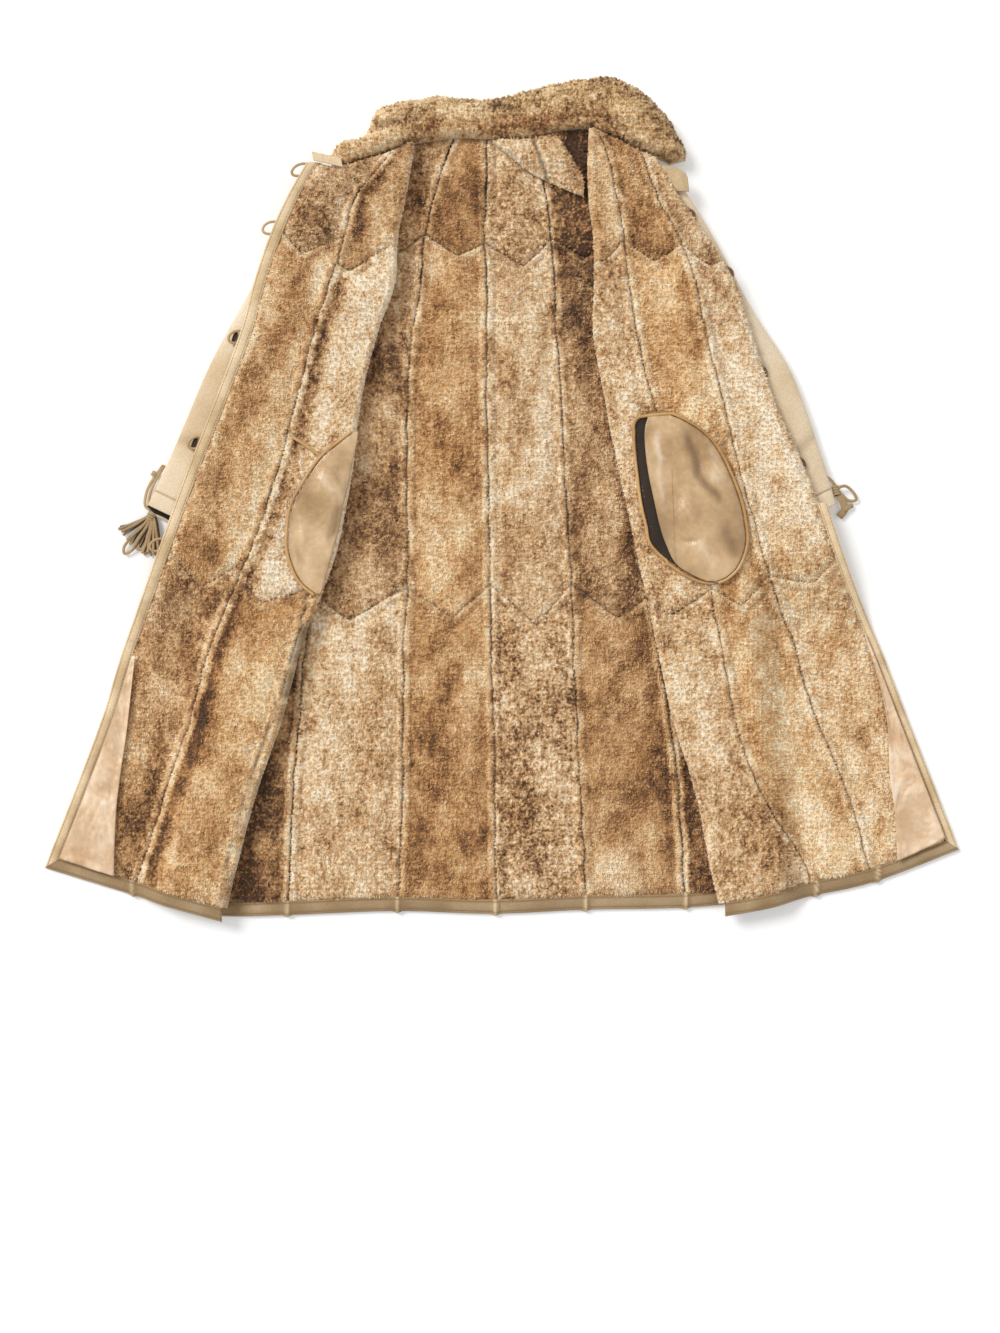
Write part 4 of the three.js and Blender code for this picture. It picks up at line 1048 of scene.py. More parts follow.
def places_on(top, traits, spacing, keep=None):
    """Random places on a surface: points, normals and traits, in millimetres."""
    a, b, c, d = corners(top)
    normal = np.cross(c - a, d - b)
    normal[normal[..., 2] < 0] *= -1
    area = np.linalg.norm(normal, axis=-1) / 2
    middle = (a + b + c + d) / 4
    expected = area / spacing ** 2
    if keep is not None:
        expected = expected * keep(middle[..., 0], middle[..., 1])
    number = np.floor(expected + rng.random(expected.shape)).astype(int).ravel()
    square = np.repeat(np.arange(number.size), number)
    s, t = rng.random(square.size), rng.random(square.size)

    def between(grid):
        p, q, r, w = (g.reshape(number.size, -1)[square] for g in corners(grid))
        s_, t_ = s[:, None], t[:, None]
        return (p * (1 - s_) + w * s_) * (1 - t_) + (q * (1 - s_) + r * s_) * t_

    return between(top), unit(normal.reshape(-1, 3)[square]), {
        name: between(values[..., None])[:, 0] for name, values in traits.items()}


# %% Growing the locks
NAP = np.array([0.25, 1.0, 0.0])  # the way the wool was brushed, across and down


def grow(name, places, height, thick, clump, draw, nap=1.0, finish=None, deep=1.0):
    """One joined mesh of locks that stand at the places given."""
    point = np.concatenate([p for p, _, _ in places])
    normal = np.concatenate([n for _, n, _ in places])
    traits = {key: np.concatenate([t[key] for _, _, t in places])
              for key in places[0][2]}
    count = len(point)
    curly = traits["curly"]
    size = clump * (1.15 - 0.3 * curly)
    mx, my, own = clump_middle(point[:, 0], point[:, 1], clump, 11)
    _, _, fine = clump_middle(point[:, 0], point[:, 1], clump * 2.7, 23)
    towards = np.stack([mx - point[:, 0], my - point[:, 1], np.zeros(count)], axis=1)
    near = 1 - np.clip(np.hypot(towards[:, 0], towards[:, 1]) / (size * 0.75), 0, 1)
    # painted shade in the gaps between clumps, and painted light on the middles of the clumps
    traits["dark"] = traits["dark"] + deep * (0.16 + 0.4 * curly) * (0.45 - near)
    flank = 1 - smooth(0.1, 0.8, normal[:, 2])  # light shines through at the edges
    traits["dark"] = traits["dark"] - 0.2 * flank
    tall = height * (0.6 + 0.5 * near + 0.25 * rng.random(count))
    tall *= 1 - 0.45 * np.clip(traits["slit"] * 1.6, 0, 1)
    tall *= 1 - 0.6 * flank
    lean = towards * (draw * (0.45 + 0.55 * curly))[:, None]
    swirl = 2 * math.pi * cloud(point[:, 0], point[:, 1], 26, 31)
    swirl_way = np.stack([np.cos(swirl), np.sin(swirl), np.zeros(count)], axis=1)
    lean += nap * (1.1 - 0.6 * curly)[:, None] * (NAP + 0.8 * swirl_way)
    lean += rng.normal(0, 0.35, (count, 3))
    tip = point + normal * tall[:, None] + lean * (1 - 0.7 * flank)[:, None]
    turn = rng.random(count) * 2 * math.pi
    side = unit(np.cross(normal, [0.3, 0.95, 0.1]))
    other = np.cross(normal, side)
    cos, sin = np.cos(turn)[:, None], np.sin(turn)[:, None]
    along, athwart = side * cos + other * sin, other * cos - side * sin
    wide = thick * (0.8 + 0.5 * rng.random(count))
    root = point - normal * 0.5
    axis = tip - root
    points = (root[:, None, :] + axis[:, None, :] * LOCK[None, :, 2:3]
              + wide[:, None, None] * (along[:, None, :] * LOCK[None, :, 0:1]
                                       + athwart[:, None, :] * LOCK[None, :, 1:2]))
    # metres() mirrors the table's frame, so the corners go round the other way
    faces = LOCK_FACES[None, :, ::-1] + len(LOCK) * np.arange(count)[:, None, None]
    piece = mesh_piece(name, metres(points.reshape(-1, 3)), faces.reshape(-1, 3),
                       [finish or wool_locks])
    for trait, values in traits.items():
        set_trait(piece, trait, np.repeat(values, len(LOCK)))
    # mostly the skin's own normals, so that the locks are lit as one fleece
    soft = normal[:, None, :] + 0.4 * (points - (root + axis * 0.3)[:, None, :])
    soft[..., 1] *= -1
    piece.data.normals_split_custom_set_from_vertices(unit(soft.reshape(-1, 3)))
    set_trait(piece, "rise", np.tile(LOCK[:, 2], count))
    set_trait(piece, "lock", np.repeat(0.45 * own + 0.3 * fine + 0.25 * rng.random(count),
                                       len(LOCK)))
    lay_flat_uv(piece)
    return piece


def lay_flat_uv(piece):
    """A UV map seen from above, for a piece of many small parts."""
    mesh = piece.data
    co = np.empty(len(mesh.vertices) * 3, np.float32)
    mesh.vertices.foreach_get("co", co)
    co = co.reshape(-1, 3)[:, :2]
    low, size = co.min(axis=0), (co.max(axis=0) - co.min(axis=0)).max()
    corner = np.empty(len(mesh.loops), np.int32)
    mesh.loops.foreach_get("vertex_index", corner)
    layer = mesh.uv_layers.new(name="OFBake")
    layer.data.foreach_set("uv", ((co - low) / size)[corner].astype(np.float32).ravel())


# %% Wool on the panels
def not_hidden(x, down):
    """Nothing grows on the back where the folded fronts lie on it."""
    return smooth(-9, -2, x - line("foldL", down)) * smooth(-9, -2, line("foldR", down) - x)


# %% Leather that lies on the wool
FACINGS = {
    # down, across: the edge that lies on the wool
    "left": [[768, -539], [814, -544], [878, -551], [989, -566], [1110, -571]],
    "right": [[735, 535], [820, 560], [870, 569], [941, 572], [1013, 581], [1110, 584]],
}
POCKETS = {
    "left": [
        # down, from, to
        [441, -214, -209], [459, -237, -211], [481, -263, -216], [522, -290, -224],
        [550, -304, -231], [587, -310, -238], [614, -310, -246], [644, -301, -254],
        [664, -288, -259], [678, -270, -264],
    ],
    "right": [
        [416, 214, 243], [426, 199, 266], [445, 197, 295], [470, 198, 316],
        [506, 202, 334], [544, 207, 348], [579, 215, 355], [606, 222, 356],
        [637, 256, 345], [654, 285, 328], [660, 300, 313],
    ],
}


def clear_of_leather(side):
    """Nothing grows where a pocket bag or a facing lies on the wool."""
    def keep(x, down):
        bag, facing = POCKETS[side], FACINGS[side]
        over = smooth(0, 5, down - bag[0][0]) * smooth(0, 5, bag[-1][0] - down)
        over = over * smooth(0, 5, x - read_table(bag, 1, down))
        over = over * smooth(0, 5, read_table(bag, 2, down) - x)
        sign = 1 if side == "left" else -1
        past = sign * (read_table(facing, 1, down) - x)
        under = smooth(2, 8, past) * smooth(0, 12, down - facing[0][0])
        return 1 - np.maximum(over, under)
    return keep


# %% The panels' locks
SPACING = 2.75
locks = {}
for strip in strips:
    keep = not_hidden if strip["layer"] == "back" else clear_of_leather(strip["layer"])
    places = [places_on(top, traits, SPACING, keep)
              for name, top, traits in surfaces.values() if name == strip["name"]]
    locks[strip["name"]] = grow(f"wool_{strip['name']}", places, height=3.4, thick=1.65,
                                clump=7.0, draw=0.8)
print("locks:", sum(len(piece.data.polygons) for piece in locks.values()) // 3)

# %% [markdown]
# ## The hidden sides, the shoulder fold and the collar
# The outer strips of the back show only near the hem, in the shade of the fronts. A
# fold of the shoulder lies across the top of the back. The collar is a thick double
# layer of curly wool with a rolled outer edge and one lobe folded over the other.

# %% Outer strips of the back and the layers under the fronts
SIDE_TOP = 66.0
ALL_ROWS = range(HEM_ROW + 1)


def down_to_side(inner, side, u, row):
    side_end = hem_above("back", line(side, 1130.0))
    down = lerp(row_down(inner, row), lerp(SIDE_TOP, side_end, row / HEM_ROW), u)
    if row > 0:
        return down
    x = lerp(line(inner, down), line(side, down), u)
    return np.maximum(down, read_table(NECKLINE, 1, x)) + 2


def side_grid(inner, edge, inset, low, high, side_drop):
    """A long strip between an inner line and the side of the body."""
    u = stations(70.0)
    sign = -1 if edge == "sideL" else 1
    coarse = np.array([down_to_side(inner, edge, u, row) for row in ALL_ROWS])
    steps = np.linspace(0, HEM_ROW, 150)
    down = np.stack([np.interp(steps, list(ALL_ROWS), coarse[:, j])
                     for j in range(len(u))], axis=1)
    x = lerp(line(inner, down) + sign * inset, line(edge, down), u[None, :])
    width = np.abs(x[:, -1:] - x[:, :1])
    away = u[None, :] * width
    if inner in SEWN:
        x = x + stray(down, SIDE_SALT + LINE_NAMES.index(inner), away)
    lift = relief(SIDE_SEAM, away)
    lift = np.minimum(lift, -side_drop * smooth(0.85, 1, u)[None, :])
    top = np.stack([x, down, np.full_like(x, high) + lift + 0.6 * cloud(x, down, 15, 5)],
                   axis=-1)
    band = 1 - smooth(7.5, 11.5, away)
    traits = {"dark": lerp(0.86 + 0.12 * cloud(x, down, 60, 8), 0.45, band),
              "warm": 0.45 + 0.2 * cloud(x, down, 90, 7),
              "slit": 0.8 * (1 - smooth(0.6, 2.6, away)),
              "curly": np.full_like(x, 0.5)}
    return top, np.stack([x, down, np.full_like(x, low)], axis=-1), traits


sides = {}
for side, seam, edge, fold in (("left", "b0", "sideL", "foldL"),
                               ("right", "b4", "sideR", "foldR")):
    top, bottom, traits = side_grid(seam, edge, SEAM_GAP / 2, 0, PELT - WOOL_START, 2)
    piece = closed_sheet(f"skin_back_side_{side}", top, bottom, [wool, under_suede], traits)
    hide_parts(f"back_side_{side}")
    sides[f"back_side_{side}"] = (piece, top, traits)
    top, bottom, traits = side_grid(fold, edge, FOLD_RADIUS + SEAM_GAP, UNDER_FLOOR,
                                    UNDER_TOP, 4)
    piece = closed_sheet(f"skin_{side}_under_layer", top, bottom, [under_suede, wool],
                         traits)
    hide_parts(f"{side}_under_layer")
    sides[f"{side}_under_layer"] = (piece, top, traits)


# %% Shoulder fold
def shares(rows, columns):
    """Shares from 0 to 1 down and across a sheet, for each of its points."""
    return np.meshgrid(np.linspace(0, 1, rows), np.linspace(0, 1, columns), indexing="ij")


SHOULDER_FOLD = [
    # across, upper down, lower down
    [-12, 9, 13], [13, 7, 32], [44, 6, 57], [81, 2, 75], [101, 28, 84], [122, 62, 92],
]
v, u = shares(34, 20)
x = lerp(SHOULDER_FOLD[0][0], SHOULDER_FOLD[-1][0], v)
down = lerp(read_table(SHOULDER_FOLD, 1, x), read_table(SHOULDER_FOLD, 2, x), u)
height = UNDER_FLOOR + 1.5 + 7.5 * np.sin(math.pi * np.clip(u, 0.02, 0.98)) ** 0.7
height += (1.6 * np.sin(u * 9 + v * 5) + 1.2 * cloud(x, down, 13, 12)) * np.sin(math.pi * u)
# darker along the upper edge towards the right: painted shade beside the hollow at the shoulder
fold_traits = {"dark": 0.44 - 0.16 * u + 0.3 * (1 - smooth(0, 0.2, u)) * smooth(0.5, 1, v),
               "warm": np.full_like(x, 0.45),
               "slit": 0.6 * (1 - smooth(1.5, 4.5, np.abs(x - 44.5 - down * 0.35))),
               "curly": np.full_like(x, 0.8)}
fold_top = np.stack([x, down, height], axis=-1)
fold_bottom = np.stack([x, down, np.full_like(x, UNDER_FLOOR)], axis=-1)
shoulder = closed_sheet("skin_shoulder_fold", fold_top, fold_bottom, [wool, under_suede],
                        fold_traits)
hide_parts("shoulder_fold")

# %% Collar
COLLAR = [
    # neck across, neck down, outer across, outer down, height
    [-250, 43, -253, 33, 14], [-230, 45, -237, 12, 29], [-190, 33, -199, 1, 34],
    [-157, 22, -181, -37, 36], [-122, 8, -138, -49, 33], [-68, -1, -91, -57, 27],
    [-21, 0, -24, -53, 25], [45, -2, 40, -65, 25], [87, -12, 79, -76, 27],
    [129, -14, 122, -82, 32], [150, -4, 165, -84, 36], [182, 12, 212, -60, 38],
    [212, 27, 246, -23, 38], [234, 34, 269, 18, 34], [250, 42, 273, 35, 18],
]
COLLAR_CREASES = [
    # from across, down, to across, down, half width, depth
    (-210, 4, -150, -12, 6, -9.0),
    (-150, -12, -112, -20, 7, -4.0),
    (-22, -58, -4, -10, 7, -5.0),
    (-128, 14, -100, 0, 5, -3.0),
    (30, -70, 60, -20, 12, 2.0),
    (100, -30, 190, 0, 9, -3.5),
    (165, -20, 230, 20, 12, 2.5),
]
COLLAR_PROFILE = [(0, 0.5), (0.05, 0.74), (0.14, 0.9), (0.3, 0.99), (0.5, 1.0),
                  (0.68, 0.96), (0.8, 0.87), (0.9, 0.71), (0.96, 0.5), (1, 0.25)]

rows = np.array([[i, *row] for i, row in enumerate(COLLAR)], float)
at = np.linspace(0, len(COLLAR) - 1, 130)
neck_x, neck_d, outer_x, outer_d, tall = (read_table(rows, k, at)[:, None]
                                          for k in range(1, 6))
neck_d = neck_d + 5.0 * smooth(-150, -110, neck_x) * smooth(-175, -135, -neck_x)
out = np.array([0, 0.02, 0.05, 0.09, 0.14, 0.2, 0.27, 0.35, 0.43, 0.51, 0.59, 0.67, 0.74,
                0.8, 0.86, 0.91, 0.95, 0.98, 1.0])[None, :]
x, down = lerp(neck_x, outer_x, out), lerp(neck_d, outer_d, out)
share = relief(COLLAR_PROFILE, out)
inside = smooth(0, 0.12, out) * smooth(0, 0.1, 1 - out)
lumps = 1.5 * cloud(x, down, 16, 14) + 0.8 * cloud(x, down, 8, 15)
creased = crease_height(COLLAR_CREASES, x, down, (-12, 12))
height = tall * share - 1.6 + inside * (lumps + creased)
x = x + 1.6 * cloud(x, down, 13, 16) * smooth(0.8, 1, out)
down = down + 2.0 * cloud(x, down, 15, 17) * smooth(0.8, 1, out)
collar_top = np.stack([x, down, np.maximum(height, 3.0)], axis=-1)
hollow = np.maximum(collar_top[..., 2] - 19.0, 0.0)  # it arches over the air inside
collar_bottom = np.stack([x, down, hollow * smooth(0, 0.2, out) * smooth(0, 0.25, 1 - out)],
                         axis=-1)
roll = bell(out - 0.24, 0.14) * smooth(-150, -90, x) * (1 - smooth(80, 190, x))
collar_traits = {
    # darker along the neck edge: painted shade where the collar meets the panels
    "dark": 0.43 + 0.34 * roll + 0.22 * (1 - smooth(0.02, 0.12, out))
    + 0.14 * cloud(x, down, 38, 18) + 0.1 * smooth(0.5, 0.9, out) * smooth(-60, 60, x)
    - 0.16 * (1 - smooth(-170, -100, x)),
    "warm": 0.42 + 0.5 * roll + 0.25 * (1 - smooth(-190, -120, x)) - 0.3 * smooth(0.4, 0.9, out),
    "slit": np.zeros_like(x),
    "curly": np.full_like(x, 1.0),
}

# %% Locks on these pieces
places = [places_on(fold_top, fold_traits, SPACING)]
wool_fold = grow("wool_shoulder_fold", places, height=4.0, thick=1.4, clump=7.5, draw=0.8)


def shows_at_hem(x, down):
    return smooth(560, 620, down) * not_hidden(x, down)


places = [places_on(top, traits, SPACING, shows_at_hem)
          for name, (piece, top, traits) in sides.items() if name.startswith("back")]
wool_sides = grow("wool_back_sides", places, height=3.8, thick=1.4, clump=7.0, draw=0.8)

# %% The collar's own colour, and its curls
WARM_COLLAR = [(0.0, "#fbe2bd"), (0.25, "#ecc898"), (0.5, "#d3a370"), (0.75, "#a97448"),
               (1.0, "#67452b")]
COOL_COLLAR = [(0.0, "#f6e0ba"), (0.25, "#e2c393"), (0.5, "#c39f6e"), (0.75, "#8f6f4a"),
               (1.0, "#574230")]
collar_wool = wool_finish("collar_wool", False, WARM_COLLAR, COOL_COLLAR)
collar_locks = wool_finish("collar_locks", True, WARM_COLLAR, COOL_COLLAR)
collar = closed_sheet("skin_collar", collar_top, collar_bottom, [collar_wool, under_suede],
                      collar_traits)
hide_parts("collar")
wool_collar = grow("wool_collar", [places_on(collar_top, collar_traits, 2.0)], height=3.4,
                   thick=1.4, clump=7.5, draw=0.8, nap=0.2, finish=collar_locks, deep=1.5)
print("collar locks:", len(wool_collar.data.polygons) // 3)

# %% [markdown]
# ## Sleeves
# Each sleeve is a flattened tube of suede with wool inside, so its wall is thick and
# its cuff is a dark slot. A seam runs round it a little above the cuff.

# %% Sleeves
SLEEVES = {
    "left": [
        # outer across, outer down, inner across, inner down
        [-278, 62, -257, 78], [-330, 150, -263, 175], [-368, 226, -275, 262],
        [-428, 337, -298, 372], [-482, 463, -338, 500], [-521, 546, -404, 602],
    ],
    "right": [
        [266, 74, 256, 84], [318, 160, 267, 180], [373, 262, 278, 290],
        [428, 351, 299, 388], [473, 475, 348, 515], [494, 545, 374, 602],
    ],
}
SLEEVE_TOP, SLEEVE_WALL = 23.4, 5.0
SLEEVE_MIDDLE = 9.4  # height at which a sleeve is widest
CUFF_BAND = 24.0  # from the cuff up to the seam


def sleeve_grids(side):
    """A sleeve's outer side, its inner side, and how much of its worn colour the suede takes:
    along the cuff seam, as painted shade in a furrow, and in soft clouds of wear.
    """
    rows = np.array([[i, *row] for i, row in enumerate(SLEEVES[side])], float)
    v = np.concatenate([np.linspace(0, 0.9, 90), np.linspace(0.904, 1, 26)])
    ox, od, ix, id_ = (read_table(rows, k, v * (len(rows) - 1))[:, None]
                       for k in range(1, 5))
    turn = np.linspace(0, 2 * math.pi, 48, endpoint=False)[None, :]
    width = np.hypot(ix - ox, id_ - od)
    up = np.sign(np.sin(turn)) * np.abs(np.sin(turn)) ** 0.55
    closing = 1 - 0.16 * smooth(0.85, 1, v)[:, None]

    def ring(inset):
        share = 0.5 - 0.5 * np.cos(turn) * (1 - 2 * inset / np.maximum(width, 2 * inset + 4))
        x, down = lerp(ox, ix, share), lerp(od, id_, share)
        tall = np.where(up > 0, (SLEEVE_TOP - SLEEVE_MIDDLE) * closing, SLEEVE_MIDDLE)
        return x, down, SLEEVE_MIDDLE + tall * up * (1 - inset / tall)

    x, down, z = ring(0.0)
    end, other = np.array([ox[-1, 0], od[-1, 0]]), np.array([ix[-1, 0], id_[-1, 0]])
    way = (other - end) / np.linalg.norm(other - end)
    from_cuff = np.abs((x - end[0]) * way[1] - (down - end[1]) * way[0])
    folds = 1.3 * cloud(x, down, 60, 20) + 0.9 * cloud(x * 0.6, down, 26, 21)
    folds += 1.6 * bell(from_cuff - 118 - 0.35 * (x - ox), 9)
    folds -= 1.8 * bell(from_cuff - 105 - 0.3 * (x - ox), 7)
    seam = -1.5 * bell(from_cuff - CUFF_BAND, 1.8)
    seam += 0.9 * smooth(0, 4, CUFF_BAND - 3 - from_cuff) * smooth(0, 3, from_cuff)
    top_share = np.clip(up, 0, 1)
    z = z + (np.clip(folds, -2.6, 1.4) + seam) * top_share
    outer = np.stack(np.broadcast_arrays(x, down, z), axis=-1)
    inner = np.stack(np.broadcast_arrays(*ring(SLEEVE_WALL)), axis=-1)
    near_seam = 0.8 * bell(from_cuff - CUFF_BAND, 1.3)
    # painted shade in the furrow above the cuff
    shade = 0.35 * bell(from_cuff - 105 - 0.3 * (x - ox), 8)
    return outer, inner, np.clip(near_seam + shade + 0.1 * cloud(x, down, 40, 22), 0, 1)


sleeve_wool = wool_finish("sleeve_lining_wool", False)
sleeves = {}
for side in SLEEVES:
    outer, inner, worn = sleeve_grids(side)
    piece = closed_sheet(f"sleeve_{side}", outer, inner, [sleeve_suede, sleeve_wool],
                         {"dark": 0.75, "warm": 0.3, "slit": 0.0, "curly": 0.6,
                          "worn": worn},
                         around=True)
    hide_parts(f"sleeve_{side}_upper", f"sleeve_{side}_under")
    sleeves[side] = (piece, outer)
print("sleeves:", {side: round(volume_of(piece) * 1e3, 2) for side, (piece, _) in
                   sleeves.items()}, "litres")

# %% [markdown]
# ## Bindings and stitching
# A suede strip wraps the front edges and the hem, with a row of stitches near each of
# its edges. Each leg of a binding is a grid between an outer and an inner line, and the
# two lines turn the corner together. One stitch is modelled and copied along the rows.

# %% One stitch
bpy.ops.object.select_all(action="DESELECT")
bpy.ops.mesh.primitive_cube_add(size=1.0)
stitch = bpy.context.object
bpy.ops.object.mode_set(mode="EDIT")
bpy.ops.mesh.select_all(action="SELECT")
bpy.ops.transform.resize(value=(1.0, 0.3, 0.3))
bpy.ops.object.mode_set(mode="OBJECT")
for vertex in stitch.data.vertices:  # the ends dive into the leather
    vertex.co.z += 0.25 - 0.9 * abs(vertex.co.x)
STITCH = np.array([tuple(v.co) for v in stitch.data.vertices])
STITCH_FACES = np.array([tuple(p.vertices) for p in stitch.data.polygons])
bpy.data.objects.remove(stitch)


# %% Rows of stitches
def distances(points):
    """How far along a line each of its points lies."""
    steps = np.linalg.norm(np.diff(points, axis=0), axis=1)
    return np.concatenate([[0], np.cumsum(steps)])


def sew(name, lines, pitch=5.2, length=3.6, thick=1.5):
    """Stitches along lines of points [across, down, height], as one joined mesh."""
    middles, ways = [], []
    for points in lines:
        run = distances(points)
        at = np.arange(pitch / 2, run[-1], pitch)
        place, ahead, behind = (
            np.stack([np.interp(at + shift, run, points[:, k]) for k in range(3)], axis=1)
            for shift in (0, 1, -1))
        middles.append(place)
        ways.append(ahead - behind)
    middle, way = np.concatenate(middles), unit(np.concatenate(ways))
    aside = unit(np.cross(np.broadcast_to([0, 0, 1.0], way.shape), way))
    up = np.cross(way, aside)
    parts = STITCH * np.array([length, thick, thick])
    points = (middle[:, None] + way[:, None] * parts[None, :, 0:1]
              + aside[:, None] * parts[None, :, 1:2] + up[:, None] * parts[None, :, 2:3])
    faces = STITCH_FACES[None] + len(STITCH) * np.arange(len(middle))[:, None, None]
    piece = mesh_piece(name, metres(points.reshape(-1, 3)), faces.reshape(-1, 4), [thread])
    if volume_of(piece) < 0:
        piece.data.flip_normals()
    lay_flat_uv(piece)
    return piece


# %% Legs of a binding
BINDING_SHAPE = [
    # share of the width, share of the thickness
    (0.0, 0.42), (0.03, 0.66), (0.08, 0.84), (0.14, 0.93), (0.2, 0.9), (0.27, 1.0),
    (0.4, 1.05), (0.55, 1.06), (0.7, 1.02), (0.78, 0.96), (0.84, 0.88), (0.9, 0.93),
    (0.96, 0.86), (1.0, 0.6),
]
GROOVES = (4, 10)  # the rows of that table with stitches
CORNER = {"left": (-675.0, 1081.0), "right": (678.0, 1054.0)}
HEM_ENDS = {"left": -410.0, "right": 329.0}  # across, beside the folds
EDGE_POINTS, HEM_POINTS, BACK_HEM_POINTS = 260, 90, 240


def edge_line(side, inset, start, end):
    """A line beside a front edge."""
    down = np.linspace(start, end, EDGE_POINTS)
    name, inwards = FRONT_EDGE[side]
    return np.stack([line(name, down) + inwards * inset, down], axis=1)


def hem_line(layer, inset, start, end, count, nubs=()):
    """A line beside a hem."""
    x = np.linspace(start, end, count)
    down = read_table(HEMS[layer], 1, x) - inset
    for nub in nubs:  # where a seam of the body ends in a small fold of leather
        down = down + 3.2 * bell(x - nub, 4.5)
    return np.stack([x, down], axis=1)


LAP = 2.7  # how far a binding's inner edge lies over the wool's edge


def inner_corner(side):
    """Where the inner edges of the two legs meet."""
    name, inwards = FRONT_EDGE[side]
    down = CORNER[side][1] - HEM_BINDING
    for _ in range(6):
        x = float(line(name, down)) + inwards * (EDGE_BINDING[side] + LAP)
        down = float(read_table(HEMS[side], 1, x)) - HEM_BINDING - LAP
    return x, down


NUBS = {"left": (-545.0,), "back": (-316.0, -153.0, -8.0, 125.0, 273.0),
        "right": (466.0, 557.0)}


def binding(layer, legs, soiled, salt):
    """A binding from its legs, each a pair of outer and inner lines, and how soiled
    each of them is."""
    outer = np.concatenate([leg[0] for leg in legs])
    inner = np.concatenate([leg[1] for leg in legs])
    u = np.array([place for place, _ in BINDING_SHAPE])[None, :, None]
    flat = lerp(outer[:, None, :], inner[:, None, :], u)
    x, down = flat[..., 0], flat[..., 1]
    full = np.array([height for _, height in BINDING_SHAPE])[None, :]
    low = floor_of(layer, x, down)
    thick = BINDING_THICK * full + 0.5 * cloud(x, down, 24, salt) * smooth(0, 0.2, u[..., 0])
    thick = thick + 0.35 * cloud(x, down, 9, salt + 1)
    top = np.stack([x, down, low + thick], axis=-1)
    # the hem is worn and dirty all over; both legs get painted shade along their two stitched
    # grooves
    hem = np.concatenate([np.full(len(leg[0]), share)
                          for leg, share in zip(legs, soiled)])[:, None]
    place = u[..., 0]
    painted_groove_shade = bell(place - 0.2, 0.05) + bell(place - 0.84, 0.06)
    worn = 0.85 * hem + 0.2 * cloud(x, down, 30, salt + 2) + 0.3 * painted_groove_shade
    for nub in NUBS[layer]:  # a seam of the body crosses the hem as a low ridge
        crossing = hem * bell(x - nub, 2.4)
        top[..., 2] += 1.5 * crossing
        # painted highlight on the ridge, and a painted shadow on one side of it
        worn = worn - 0.7 * crossing + 0.5 * hem * bell(x - nub - 4.5, 2)
    return top, np.stack([x, down, low], axis=-1), {"worn": np.clip(worn, 0, 1)}


def stitch_rows(top):
    """Lines along the two grooves of a binding, a little above its leather."""
    return [top[:, k] + np.array([0, 0, 0.35]) for k in GROOVES]


bindings = {}
for side, start in (("left", 46.0), ("right", RIGHT_BINDING_FROM)):
    corner_x, corner_down = CORNER[side]
    inner_x, inner_down = inner_corner(side)
    edge = (edge_line(side, 0, start, corner_down),
            edge_line(side, EDGE_BINDING[side] + LAP, start, inner_down))
    hem = (hem_line(side, 0, corner_x, HEM_ENDS[side], HEM_POINTS, NUBS[side]),
           hem_line(side, HEM_BINDING + LAP, inner_x, HEM_ENDS[side], HEM_POINTS))
    top, bottom, traits = binding(side, [edge, hem], [0.0, 1.0], 40)
    piece = closed_sheet(f"binding_strip_{side}", top, bottom, [binding_suede], traits)
    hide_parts(f"binding_{side}")
    seam = sew(f"binding_stitches_{side}", stitch_rows(top))
    bindings[side] = (piece, top, seam)

back_ends = [float(line(name, 1150.0)) for name in ("sideL", "sideR")]
top, bottom, traits = binding("back", [(
    hem_line("back", 0, *back_ends, BACK_HEM_POINTS, NUBS["back"]),
    hem_line("back", HEM_BINDING + LAP, *back_ends, BACK_HEM_POINTS))], [1.0], 44)
piece = closed_sheet("binding_strip_back", top, bottom, [binding_suede], traits)
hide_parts("binding_back_hem")
bindings["back"] = (piece, top, sew("binding_stitches_back", stitch_rows(top)))

# %% [markdown]
# ## Leather facings and pocket bags
# The facings are long triangles of thin leather that lie on the wool, with their free
# edge a little up. A pocket bag is a flat sack of the same leather, seen from its
# inside: crumpled, glossy, and piped round its edge. The right one is open at its
# side, and a dark sheet under it paints the shade in the slot between the piping and its front
# layer.

# %% Facings
LEATHER = 1.2
OVER_WOOL = 0.4  # the clear space between the wool's solid and the leather's
FACING_LIFT = 1.2  # how far a facing's smooth parts lie above that


def crumple(x, down, salt, long=34, depth=1.0):
    """Soft wrinkles that run mostly down the leather."""
    tilt = 0.35 * cloud(x, down, 90, salt)
    ridged = 1 - np.abs(cloud(x + tilt * down, down * 0.45, long * 0.45, salt + 1))
    return depth * (0.8 * cloud(x, down * 0.6, long, salt + 2) + 1.2 * (ridged - 0.6)
                    + 0.3 * cloud(x, down, 7, salt + 3))


